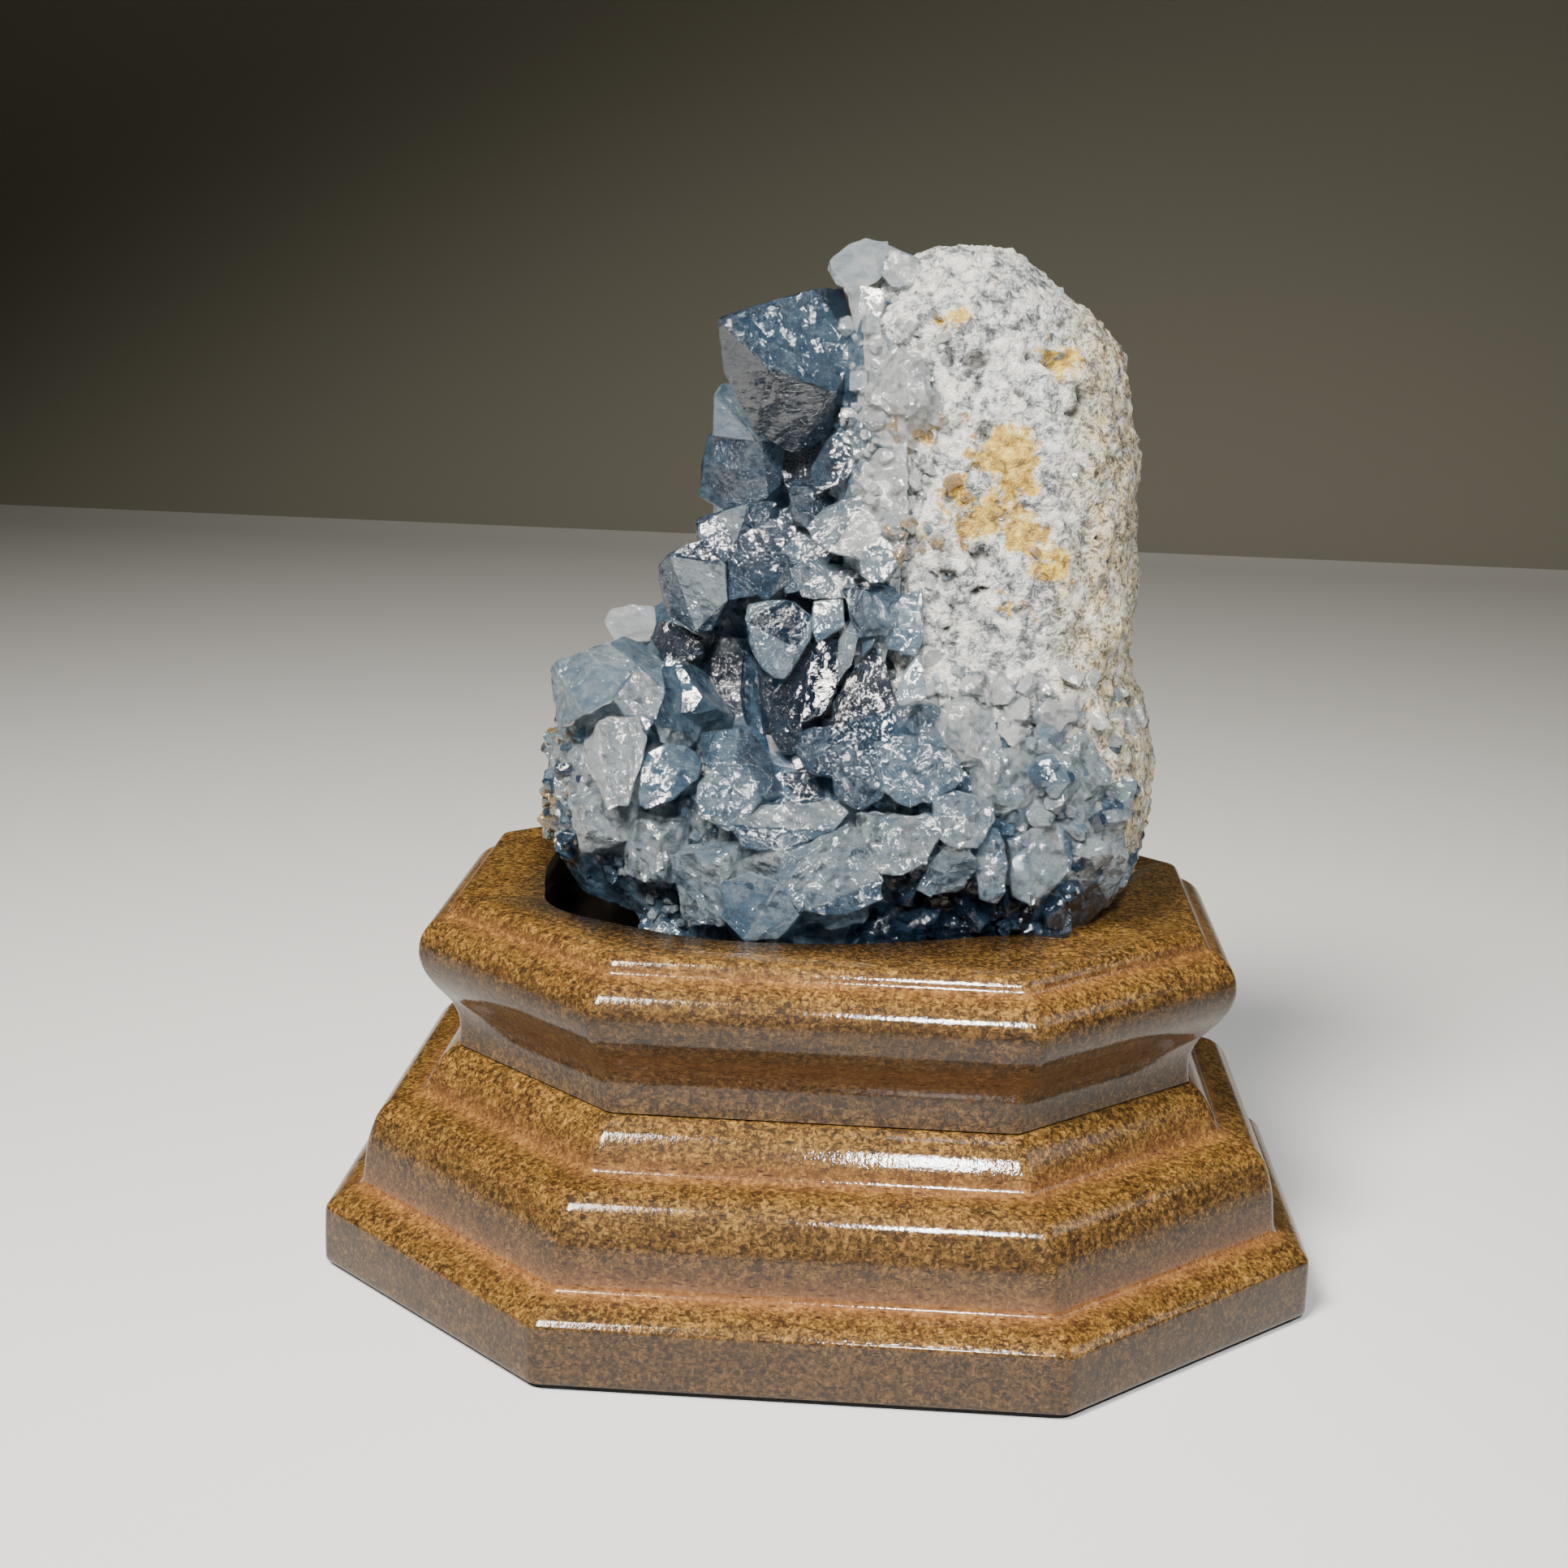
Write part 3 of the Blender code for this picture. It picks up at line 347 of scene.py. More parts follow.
def limestone():
    """Weathered limestone rind: chalky white grains with grey translucent ones between them, pits painted
    darker as painted shade, and ochre clay stains in patches."""
    m, shader = new_material("limestone", Roughness=0.7, IOR=1.55, Subsurface_Weight=0.1,
                             Subsurface_Radius=(1.0, 0.9, 0.8), Subsurface_Scale=0.001)
    link = m.node_tree.links.new
    mm = add(m, "Mapping", {"Vector": add(m, "TexCoord", {}, "Object"), "Scale": (1000, 1000, 1000)})
    grain = add(m, "TexNoise", {
        "Vector": mm, "Scale": 1 / 1.8, "Detail": 6, "Roughness": 0.72, "Distortion": 0.5})
    fine = add(m, "TexNoise", {"Vector": mm, "Scale": 1 / 0.45, "Detail": 3, "Roughness": 0.6})
    broad = add(m, "TexNoise", {
        "Vector": mm, "Scale": 1 / 7, "Detail": 5, "Roughness": 0.65, "Distortion": 0.6})
    # white crust in patches of 5 to 10 mm, with grey crystal showing between them
    crust = add(m, "Math", {0: broad, 1: 0.55, 2: grain}, operation="MULTIPLY_ADD")
    tone = add(m, "ValToRGB", {"Fac": crust}, stops=[
        (0.62, "#3f4346"), (0.7, "#7c8184"), (0.78, "#c4c6c3"), (0.9, "#ebebe5")])
    speck = add(m, "ValToRGB", {"Fac": fine}, stops=[(0.32, 0.6), (0.44, 0.0)])
    tone = add(m, "Mix", {0: speck, 6: tone, 7: "#5b5b57"}, 2, data_type="RGBA")
    # the right side and back: a clay-brown tint, partly real clay and partly painted shade
    flank = add(m, "Attribute", {}, "Fac", attribute_name="flank")
    blotch = add(m, "TexNoise", {"Vector": mm, "Scale": 1 / 2.4, "Detail": 5, "Roughness": 0.7})
    cover = add(m, "ValToRGB", {"Fac": blotch}, stops=[(0.38, 0.1), (0.56, 1.0)])
    flank = add(m, "Math", {0: flank, 1: cover}, operation="MULTIPLY")
    clay_and_shade = add(m, "ValToRGB", {"Fac": add(m, "Math", {0: fine, 1: grain}, operation="ADD")},
               stops=[(0.8, "#4d4535"), (0.96, "#8f805f"), (1.14, "#c9b98f")])
    tone = add(m, "Mix", {0: flank, 6: tone, 7: clay_and_shade}, 2, data_type="RGBA")
    # painted shade: the pits are painted darker, the deeper the more
    pit_shade = add(m, "Attribute", {}, "Fac", attribute_name="pit_shade")
    pit_shade = add(m, "Math", {0: pit_shade, 1: 0.85}, operation="MULTIPLY")
    tone = add(m, "Mix", {0: pit_shade, 6: tone, 7: "#35342f"}, 2, data_type="RGBA")
    ochre = add(m, "Attribute", {}, "Fac", attribute_name="ochre")
    ochre = add(m, "Math", {0: ochre, 1: 0.6, 2: broad}, operation="MULTIPLY_ADD")
    ochre = add(m, "Math", {0: blotch, 1: 0.7, 2: ochre}, operation="MULTIPLY_ADD")
    ochre = add(m, "ValToRGB", {"Fac": add(m, "Math", {0: ochre, 1: 0.3}, operation="SUBTRACT")},
                stops=[(0.78, 0.0), (0.88, 0.92)])
    rust = add(m, "ValToRGB", {"Fac": grain}, stops=[(0.38, "#6a5008"), (0.5, "#bd9418"), (0.62, "#e0c24c")])
    tone = add(m, "Mix", {0: ochre, 6: tone, 7: rust}, 2, data_type="RGBA")
    link(tone, shader.inputs["Base Color"])
    height = add(m, "Math", {0: fine, 1: 0.5, 2: grain}, operation="MULTIPLY_ADD")
    link(add(m, "Bump", {"Height": height, "Strength": 1.0, "Distance": 0.0016}), shader.inputs["Normal"])
    return m


def broken_face(m, mm, size):
    """Height in mm of a surface broken into small tilted faces of the given size in mm."""
    scaled = add(m, "VectorMath", {0: mm, 1: (1 / size,) * 3}, operation="MULTIPLY")
    cell = add(m, "TexVoronoi", {"Vector": scaled, "Scale": 1.0}, "Position")
    offset = add(m, "VectorMath", {0: scaled, 1: cell}, operation="SUBTRACT")
    tilt = add(m, "VectorMath", {0: cell.node.outputs["Color"], 1: (0.5, 0.5, 0.5)}, operation="SUBTRACT")
    slope = add(m, "VectorMath", {0: offset, 1: tilt}, "Value", operation="DOT_PRODUCT")
    return add(m, "Math", {0: slope, 1: size}, operation="MULTIPLY")


def celestite():
    """Celestite, strontium sulphate: clear blue crystal clouded by milky veils. Grown faces are smooth with
    fine growth lines, broken ones glitter, and clay dust lies in the wrinkles of the duller ones."""
    m, shader = new_material("celestite", IOR=1.624, Transmission_Weight=0.8, Subsurface_Weight=0.08,
                             Coat_Weight=0.55, Coat_Roughness=0.03, Coat_IOR=1.65,
                             Subsurface_Radius=(0.7, 0.9, 1.0), Subsurface_Scale=0.003)
    link = m.node_tree.links.new
    where = add(m, "TexCoord", {}, "Object")
    mm = add(m, "Mapping", {"Vector": where, "Scale": (1000, 1000, 1000)})
    milky, rough, dusty, tint, ochre = (
        add(m, "Attribute", {}, "Fac", attribute_name=name) for name in LOOKS)
    rough = add(m, "Math", {0: rough, 1: 0.85, 2: 0.08}, operation="MULTIPLY_ADD")
    # every crystal's veils run their own way, because its tint also turns the pattern
    turn = add(m, "CombineXYZ", {0: add(m, "Math", {0: tint, 1: 5.0}, operation="MULTIPLY"),
                                 1: add(m, "Math", {0: tint, 1: 9.0}, operation="MULTIPLY"), 2: tint})
    # veils are streaks a few mm long, and clouds are about 5 mm across
    streaks = add(m, "Mapping", {"Vector": where, "Rotation": turn, "Scale": (170, 620, 700)})
    veil = add(m, "TexNoise", {
        "Vector": streaks, "Scale": 1.0, "Detail": 6, "Roughness": 0.66, "Distortion": 0.8})
    fog = add(m, "TexNoise", {"Vector": mm, "Scale": 1 / 5, "Detail": 4, "Roughness": 0.6})
    wrinkle = add(m, "TexNoise", {
        "Vector": mm, "Scale": 1 / 1.1, "Detail": 4, "Roughness": 0.6, "Distortion": 2.2})
    ridge = add(m, "Math", {0: wrinkle, 1: 0.5}, operation="SUBTRACT")
    ridge = add(m, "Math", {0: ridge}, operation="ABSOLUTE")
    cloudy = milky
    for part, share in ((veil, 0.8), (fog, 0.6), (tint, 0.25)):
        cloudy = add(m, "Math", {0: part, 1: share, 2: cloudy}, operation="MULTIPLY_ADD")
    # etched faces are paler along their wrinkles
    etched = add(m, "ValToRGB", {"Fac": ridge}, stops=[(0.0, 0.1), (0.05, 0.0)])
    etched = add(m, "Math", {0: etched, 1: rough}, operation="MULTIPLY")
    cloudy = add(m, "Math", {0: cloudy, 1: etched}, operation="ADD")
    cloudy = add(m, "Math", {0: cloudy, 1: 0.77}, operation="SUBTRACT")
    body = add(m, "ValToRGB", {"Fac": cloudy}, stops=[
        (0.0, "#263c52"), (0.22, "#456480"), (0.42, "#6f8ba2"), (0.62, "#9db1be"), (0.82, "#ccd7dc"),
        (1.0, "#ecf1f2")])
    thread = add(m, "ValToRGB", {"Fac": ridge}, stops=[(0.0, 1.0), (0.035, 0.0)])
    dust = add(m, "Math", {0: dusty, 1: thread}, operation="MULTIPLY")
    cover = add(m, "Math", {0: dust, 1: 0.75}, operation="MULTIPLY")
    clay_and_shade = add(m, "ValToRGB", {"Fac": veil}, stops=[(0.4, "#5e4c34"), (0.6, "#9c8c72")])
    body = add(m, "Mix", {0: cover, 6: body, 7: clay_and_shade}, 2, data_type="RGBA")
    ochre = add(m, "Math", {0: ochre, 1: 0.8, 2: fog}, operation="MULTIPLY_ADD")
    ochre = add(m, "ValToRGB", {"Fac": ochre}, stops=[(0.78, 0.0), (0.88, 0.9)])
    rust = add(m, "ValToRGB", {"Fac": wrinkle}, stops=[(0.4, "#a5762a"), (0.6, "#dcbc77")])
    body = add(m, "Mix", {0: ochre, 6: body, 7: rust}, 2, data_type="RGBA")
    link(body, shader.inputs["Base Color"])
    frost = add(m, "Math", {0: veil, 1: 0.16, 2: 0.03}, operation="MULTIPLY_ADD")
    frost = add(m, "Math", {0: milky, 1: 0.1, 2: frost}, operation="MULTIPLY_ADD")
    polish = add(m, "Math", {0: rough, 1: -0.12, 2: frost}, operation="MULTIPLY_ADD")
    link(add(m, "Math", {0: polish, 1: 0.05}, operation="MAXIMUM"), shader.inputs["Roughness"])
    growth = add(m, "Mapping", {"Vector": where, "Rotation": turn, "Scale": (150, 2600, 1900)})
    lines = add(m, "TexNoise", {"Vector": growth, "Scale": 1.0, "Detail": 2})
    # broken faces glitter in facets of about 1 and 2 mm
    height = add(m, "Math", {
        0: broken_face(m, mm, 0.9), 1: 0.8, 2: broken_face(m, mm, 2.1)}, operation="MULTIPLY_ADD")
    height = add(m, "Math", {0: wrinkle, 1: 0.2, 2: height}, operation="MULTIPLY_ADD")
    height = add(m, "Math", {0: height, 1: rough}, operation="MULTIPLY")
    for part, share in ((lines, 0.06), (fog, 0.35), (dust, 0.12)):
        height = add(m, "Math", {0: part, 1: share, 2: height}, operation="MULTIPLY_ADD")
    bump = add(m, "Bump", {"Height": height, "Strength": 0.9, "Distance": 0.001})
    link(bump, shader.inputs["Normal"])
    link(bump, shader.inputs["Coat Normal"])
    absorbed = add(m, "VolumeAbsorption", {"Color": "#a2b6ca", "Density": 80.0})
    link(absorbed, m.node_tree.nodes["Material Output"].inputs["Volume"])
    return m


def outline_corner(index, inset):
    """Where two sides of the drawn-in octagon meet: side normals stand 45 degrees apart."""
    half_width = STAND_WIDTH / 2
    half_depth = STAND_DEPTH / 2
    diagonal = (half_width + half_depth - CORNER_CUT) / math.sqrt(2)
    reach = [half_width, diagonal, half_depth, diagonal]
    turn_a = math.radians(45 * index)
    turn_b = math.radians(45 * (index + 1))
    reach_a = reach[index % 4] - inset
    reach_b = reach[(index + 1) % 4] - inset
    span = math.sin(turn_b - turn_a)
    x = (reach_a * math.sin(turn_b) - reach_b * math.sin(turn_a)) / span
    y = (reach_b * math.cos(turn_a) - reach_a * math.cos(turn_b)) / span
    return x, y


def outline_ring(inset):
    """Points of the octagon with rounded corners."""
    points = []
    for index in range(8):
        x, y = outline_corner(index, inset + CORNER_RADIUS)
        for step in range(CORNER_STEPS + 1):
            angle = math.radians(45 * (index + step / CORNER_STEPS))
            points.append((x + CORNER_RADIUS * math.cos(angle), y + CORNER_RADIUS * math.sin(angle)))
    return points


def eased(rows, steps):
    """A smooth line through the moulding's rows (Catmull-Rom), cut into short steps."""
    line = []
    for i in range(len(rows) - 1):
        around = (rows[max(i - 1, 0)], rows[i], rows[i + 1], rows[min(i + 2, len(rows) - 1)])
        for step in range(steps):
            t = step / steps
            line.append(tuple(
                0.5 * (2 * b + (c - a) * t + (2 * a - 5 * b + 4 * c - d) * t * t
                       + (3 * b - a - 3 * c + d) * t ** 3)
                for a, b, c, d in zip(*around)))
    return line + [rows[-1]]


def new_object(name, bm, material=None, smooth_angle=None):
    """An object of the finished mesh; smooth_angle is where shading turns sharp, in degrees."""
    mesh = bpy.data.meshes.new(name)
    bm.to_mesh(mesh)
    bm.free()
    piece = bpy.data.objects.new(name, mesh)
    bpy.context.scene.collection.objects.link(piece)
    if material:
        mesh.materials.append(material)
    if smooth_angle:
        mesh.shade_smooth()
        mesh.set_sharp_from_angle(angle=math.radians(smooth_angle))
    return piece


def settle(item):
    """Turn an object's modifiers into its mesh."""
    graph = bpy.context.evaluated_depsgraph_get()
    mesh = bpy.data.meshes.new_from_object(item.evaluated_get(graph))
    item.modifiers.clear()
    item.data = mesh
    return item


def cut_or_join(item, other, operation, solver="MANIFOLD"):
    """Cut one object by another or join them, once it is settled."""
    modifier = item.modifiers.new(operation.lower(), "BOOLEAN")
    modifier.operation = operation
    modifier.solver = solver
    modifier.object = other


def discard(items):
    """Take helper objects out of the scene again."""
    for item in items:
        bpy.data.objects.remove(item, do_unlink=True)


def slab(name, rows, material):
    """A board with a moulded edge, lofted through its rows; the stain goes along as an attribute."""
    bm = bmesh.new()
    stain = bm.verts.layers.float.new("stain")
    loops = []
    for inset, height, depth in eased(rows, 4):
        verts = [bm.verts.new((x * MM, y * MM, height * MM)) for x, y in outline_ring(inset)]
        for vert in verts:
            vert[stain] = max(depth, 0)
        loops.append([bm.edges.new((verts[i - 1], verts[i])) for i in range(len(verts))])
    for lower, upper in zip(loops, loops[1:]):
        bmesh.ops.bridge_loops(bm, edges=lower + upper)
    bmesh.ops.contextual_create(bm, geom=loops[0])
    bmesh.ops.contextual_create(bm, geom=loops[-1])
    bmesh.ops.recalc_face_normals(bm, faces=bm.faces)
    return new_object(name, bm, material, 40)


def recess_tool():
    """The recess as a solid, from a smooth closed curve through its hand-sawn edge."""
    top = 60.0  # clear of the board
    curve = bpy.data.curves.new("recess", "CURVE")
    curve.dimensions = "2D"
    curve.fill_mode = "BOTH"
    curve.resolution_u = 8
    curve.extrude = (top - RECESS_FLOOR) / 2 * MM
    spline = curve.splines.new("BEZIER")
    spline.bezier_points.add(len(RECESS_EDGE) - 1)
    spline.use_cyclic_u = True
    for point, (x, y) in zip(spline.bezier_points, RECESS_EDGE):
        point.co = (x * MM, y * MM, 0)
        point.handle_left_type = "AUTO"
        point.handle_right_type = "AUTO"
    drawn = bpy.data.objects.new("recess", curve)
    bpy.context.scene.collection.objects.link(drawn)
    drawn.location.z = (top + RECESS_FLOOR) / 2 * MM
    bpy.context.view_layer.update()
    mesh = bpy.data.meshes.new_from_object(drawn.evaluated_get(bpy.context.evaluated_depsgraph_get()))
    bm = bmesh.new()
    bm.from_mesh(mesh)
    bmesh.ops.remove_doubles(bm, verts=bm.verts, dist=0.01 * MM)
    bmesh.ops.transform(bm, matrix=drawn.matrix_world, verts=bm.verts)
    bmesh.ops.recalc_face_normals(bm, faces=bm.faces)
    discard([drawn])
    return new_object("recess_tool", bm)


def merged_copy(node, name):
    """A copy of a CAD node with its loose triangles merged."""
    bm = bmesh.new()
    bm.from_mesh(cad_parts[node].data)
    bmesh.ops.remove_doubles(bm, verts=bm.verts, dist=0.001 * MM)
    for face in bm.faces:
        face.smooth = False
    return new_object(name, bm)


def level(point, zone):
    """Below 1 inside the zone's ellipsoid, above 1 outside it."""
    middle, radii = zone
    return sum(((point[i] / MM - middle[i]) / radii[i]) ** 2 for i in range(3))


def near_spots(point, spots):
    """1 in the middle of a spot, falling to 0 at its rim."""
    return max([1 - (point / MM - Vector(middle)).length / size for middle, size in spots] + [0.0])


def zone_body(zone):
    """The zone's ellipsoid as a solid."""
    middle, radii = zone
    bm = bmesh.new()
    made = bmesh.ops.create_icosphere(bm, subdivisions=3, radius=1.0)
    for vert in made["verts"]:
        vert.co = Vector((middle[axis] + vert.co[axis] * radii[axis]) * MM for axis in range(3))
    return new_object("zone", bm)


def cut_away(bm, point, normal):
    """Slice a facet and close the solid again."""
    geometry = bm.verts[:] + bm.edges[:] + bm.faces[:]
    cut = bmesh.ops.bisect_plane(
        bm, geom=geometry, plane_co=point, plane_no=normal, dist=1e-7, clear_outer=True)
    edges = [part for part in cut["geom_cut"] if isinstance(part, bmesh.types.BMEdge)]
    if edges:
        bmesh.ops.contextual_create(bm, geom=edges)


def prism(tip, root, width, height, turn, ridge, chance):
    """A four-sided crystal, some of its edges cut, with a chisel tip of two large faces."""
    tip = Vector(tip) * MM
    root = Vector(root) * MM
    axis = (tip - root).normalized()
    length = (tip - root).length + ROOT_LENGTH * MM
    width = width * MM
    height = height * MM
    bm = bmesh.new()
    bmesh.ops.create_cube(bm, size=1.0)
    bmesh.ops.transform(
        bm, matrix=Matrix.Translation((0, 0, length / 2)) @ Matrix.Diagonal((width, height, length, 1)),
        verts=bm.verts)
    for side in range(4):
        angle = math.radians(chance.uniform(46, 58))
        across = math.copysign(math.cos(angle), 1.5 - side)
        along = math.sin(angle) * (1 if side % 2 else -1)
        corner = Vector((math.copysign(width / 2, across), math.copysign(height / 2, along), 0))
        cut_away(bm, corner * chance.uniform(0.66, 1.05), Vector((across, along, 0)))
    middle = chance.uniform(-0.25, 0.25) * width
    for side in (-1, 1):
        slope = math.radians(chance.uniform(34, 50))
        cut_away(bm, Vector((middle, 0, length)), Vector((side * math.sin(slope), 0, math.cos(slope))))
    for side in (-1, 1):
        slope = math.radians(chance.uniform(35, 60))
        start = Vector((0, side * height / 2 * ridge * chance.uniform(0.8, 1.2), length))
        cut_away(bm, start, Vector((0, side * math.sin(slope), math.cos(slope))))
    place = Matrix.Translation(root - axis * ROOT_LENGTH * MM)
    aim = axis.to_track_quat("Z", "Y").to_matrix().to_4x4()
    spin = Matrix.Rotation(math.radians(turn), 4, "Z")
    bmesh.ops.transform(bm, matrix=place @ aim @ spin, verts=bm.verts)
    return bm


def worn_edges(bm, width):
    """Break the edges a little, so that they catch the light."""
    bmesh.ops.bevel(
        bm, geom=bm.edges[:], offset=width * MM, segments=1, profile=0.5, affect="EDGES", clamp_overlap=True,
        material=-1)
    return bm


def fractured(piece):
    """Break the flat faces of the joined crystals into small tilted ones: cut the long edges that don't face
    back, then push the points in or out, each patch along its own slope. Broken crystals move most."""
    bm = bmesh.new()
    bm.from_mesh(piece.data)
    broken = bm.faces.layers.float["broken"]
    noise.seed_set(PATCH_SEED)
    bmesh.ops.triangulate(bm, faces=bm.faces[:])
    for _ in range(5):
        long = [edge for edge in bm.edges if edge.calc_length() > FRACTURE_EDGE * MM
                and edge.verts[0].co.z > STONE_SHOWS * MM
                and any(face.normal.y < 0.5 for face in edge.link_faces)]
        if not long:
            break
        bmesh.ops.subdivide_edges(bm, edges=long, cuts=1)
        bmesh.ops.triangulate(bm, faces=[face for face in bm.faces if len(face.verts) > 3])
    bm.normal_update()
    moves = []
    for vert in bm.verts:
        point = vert.co / MM
        depth = 0.08 + 0.55 * max(face[broken] for face in vert.link_faces)
        cell = noise.voronoi(point / FRACTURE_PATCH)[1][0]
        patch = (point / FRACTURE_PATCH - cell).dot(noise.noise_vector(cell * 5.1)) * 2.2
        ripple = noise.noise(point / 1.3) * 0.6
        fade = min(1.0, max(0.0, (point.z - (STONE_SHOWS + 1)) / 3))
        moves.append(vert.normal * (patch + ripple) * depth * fade * MM)
    for vert, move in zip(bm.verts, moves):
        vert.co += move
    for face in bm.faces:
        face.smooth = False
    bm.to_mesh(piece.data)
    bm.free()


def faceted(corners):
    """A crystal drawn by the corners it shows: the solid stretched over them."""
    bm = bmesh.new()
    verts = [bm.verts.new(Vector(corner) * MM) for corner in corners]
    hull = bmesh.ops.convex_hull(bm, input=verts)
    loose = {part for part in hull["geom_interior"] + hull["geom_unused"]
             if isinstance(part, bmesh.types.BMVert)}
    bmesh.ops.delete(bm, geom=list(loose), context="VERTS")
    bmesh.ops.dissolve_limit(bm, angle_limit=math.radians(7), verts=bm.verts, edges=bm.edges)
    bmesh.ops.recalc_face_normals(bm, faces=bm.faces)
    return worn_edges(bm, EDGE_WEAR)


def block_shapes(chance, count):
    """A few broken crystals, about one unit across."""
    shapes = []
    for _ in range(count):
        bm = bmesh.new()
        bmesh.ops.create_cube(bm, size=1.0)
        size = Matrix.Diagonal(
            (chance.uniform(0.75, 1), chance.uniform(0.55, 0.85), chance.uniform(0.9, 1.4), 1))
        bmesh.ops.transform(bm, matrix=size, verts=bm.verts)
        for corner in range(4):
            way = Vector((corner % 2 * 2 - 1, (corner // 2 * 2 - 1) * 1.3, chance.uniform(0.6, 1.6)))
            way.normalize()
            cut_away(bm, way * chance.uniform(0.42, 0.62), way)
        for _ in range(2):
            way = Vector([chance.gauss(0, 1) for _ in range(3)]).normalized()
            cut_away(bm, way * chance.uniform(0.36, 0.5), way)
        bmesh.ops.recalc_face_normals(bm, faces=bm.faces)
        mesh = bpy.data.meshes.new("block")
        bm.to_mesh(mesh)
        bm.free()
        shapes.append(mesh)
    return shapes


def scatter(mesh, wanted, chance):
    """Spots on a mesh, drawn so that wanted(point, normal) is how many fall on a square cm."""
    spots = []
    for polygon in mesh.polygons:
        expected = wanted(polygon.center, polygon.normal) * polygon.area * 1e4
        number = int(expected) + (chance.random() < expected % 1)
        corners = [mesh.vertices[i].co for i in polygon.vertices]
        for _ in range(number):
            pull = [-math.log(1 - chance.random()) for _ in corners]
            spot = sum((corner * p for corner, p in zip(corners, pull)), Vector()) / sum(pull)
            spots.append((spot, polygon.normal.copy()))
    return spots


def grains_on(spots, shapes, size_of, sink, chance):
    """Small crystals at the spots, a few of them large: a list of (mesh, matrix, middle, reach)."""
    grains = []
    for spot, normal in spots:
        size = size_of(spot) * min(1.8, 0.62 * (1 - chance.random()) ** -0.35) * MM
        lean = (normal + Vector([chance.gauss(0, 0.45) for _ in range(3)])).normalized()
        aim = lean.to_track_quat("Z", "Y").to_matrix().to_4x4()
        aim = aim @ Matrix.Rotation(chance.uniform(0, 6.3), 4, "Z")
        middle = spot + normal * size * sink
        place = Matrix.Translation(middle) @ aim @ Matrix.Scale(size, 4)
        grains.append((chance.choice(shapes), place, middle, size))
    return grains


def apart(grains):
    """Split grains into groups whose members don't touch, so that each group can be joined at once."""
    groups = []
    for grain in grains:
        for group in groups:
            if all((grain[2] - other[2]).length > (grain[3] + other[3]) * 0.85 for other in group):
                group.append(grain)
                break
        else:
            groups.append([grain])
    return groups


def gathered(grains, name, material=None):
    """The grains as one object, each still on its own."""
    bm = bmesh.new()
    for mesh, matrix, _, _ in grains:
        first = len(bm.verts)
        bm.from_mesh(mesh)
        bm.verts.ensure_lookup_table()
        bmesh.ops.transform(bm, matrix=matrix, verts=bm.verts[first:])
    return new_object(name, bm, material)


def paint(piece, name, values, domain="FACE"):
    """Give each face or point of a piece a number that its material reads."""
    layer = piece.data.attributes.new(name, "FLOAT", domain)
    layer.data.foreach_set("value", values)


def paint_looks(piece, looks):
    """Give each face of a piece its row of LOOKS."""
    for name, values in zip(LOOKS, zip(*looks)):
        paint(piece, name, values)


def rock_piece(material):
    """The rock, from a fine copy of its modelled solid: worn lumps, knobs and pits, painted shade in the
    pits, and where its ochre stains are and its right side and back, whose clay brown is partly painted
    shade."""
    rock = merged_copy("matrix", "rock")
    remesh = rock.modifiers.new("even", "REMESH")
    remesh.mode = "VOXEL"
    remesh.voxel_size = ROCK_VOXEL * MM
    smooth = rock.modifiers.new("worn", "SMOOTH")
    smooth.iterations = 4
    settle(rock)
    mesh = rock.data
    normals = [vert.normal.copy() for vert in mesh.vertices]
    pits = []
    for vert, normal in zip(mesh.vertices, normals):
        point = vert.co / MM
        lumps = noise.fractal(point / 9.0, 1.0, 2.0, 3) * 0.8
        knobs = (0.5 - noise.voronoi(point / 2.4)[0][0]) * 0.9 + noise.noise(point / 1.1) * 0.45
        bent = point + Vector((noise.noise(point / 2), noise.noise(point / 2 + Vector((9, 0, 0))), 0)) * 1.6
        near, cells = noise.voronoi(bent / 5.2)
        wide = 0.14 + 0.42 * abs(noise.noise(cells[0] * 7.3))
        depth = max(0.0, 1 - near[0] / wide) if noise.noise(cells[0] * 3.1) > -0.06 else 0.0
        pits.append(min(1.0, depth * 2.6))
        if point.z > STONE_SHOWS:
            vert.co += normal * (lumps + knobs - 1.9 * min(depth * 1.5, 1) - 0.25) * MM
    # painted shade in the pits: the deeper a point lies in one, the darker
    paint(rock, "pit_shade", pits, "POINT")
    paint(rock, "ochre", [near_spots(vert.co, OCHRE_SPOTS) for vert in mesh.vertices], "POINT")
    # the right side and back, whose darker clay brown is partly painted shade
    paint(rock, "flank", [min(1.0, max(0.0, (vert.co.x / MM - 29) / 8, (vert.co.y / MM + 3) / 14))
                          for vert in mesh.vertices], "POINT")
    mesh.materials.clear()
    mesh.materials.append(material)
    mesh.shade_smooth()
    return rock


def crystal_bodies(chance):
    """Every large crystal as a body of its own, with its look."""
    bodies = []
    for name, look, corners in FACETED:
        bodies.append((new_object(name, faceted(corners)), look))
    for tip, root, width, height, turn, ridge, *look in PRISMS:
        bodies.append((new_object("prism", prism(tip, root, width, height, turn, ridge, chance)), look))
    return bodies


def crust_layer():
    """The thin layer that the crystals grow from, over the rock inside the crystal zones."""
    zones = [zone_body(zone) for zone in CRYSTAL_ZONES]
    for other in zones[1:]:
        cut_or_join(zones[0], other, "UNION")
    settle(zones[0])
    layer = merged_copy("matrix", "crystals")
    grow = layer.modifiers.new("grow", "DISPLACE")
    grow.mid_level = 0.0
    grow.strength = CRUST_THICKNESS * MM
    cut_or_join(layer, zones[0], "INTERSECT")
    settle(layer)
    discard(zones)
    return layer


def searchable(bodies):
    """All bodies as one search tree, and the number of the body that each of its faces belongs to."""
    together = bmesh.new()
    owners = []
    for number, (body, _) in enumerate(bodies):
        together.from_mesh(body.data)
        owners += [number] * (len(together.faces) - len(owners))
    tree = BVHTree.FromBMesh(together)
    together.free()
    return tree, owners


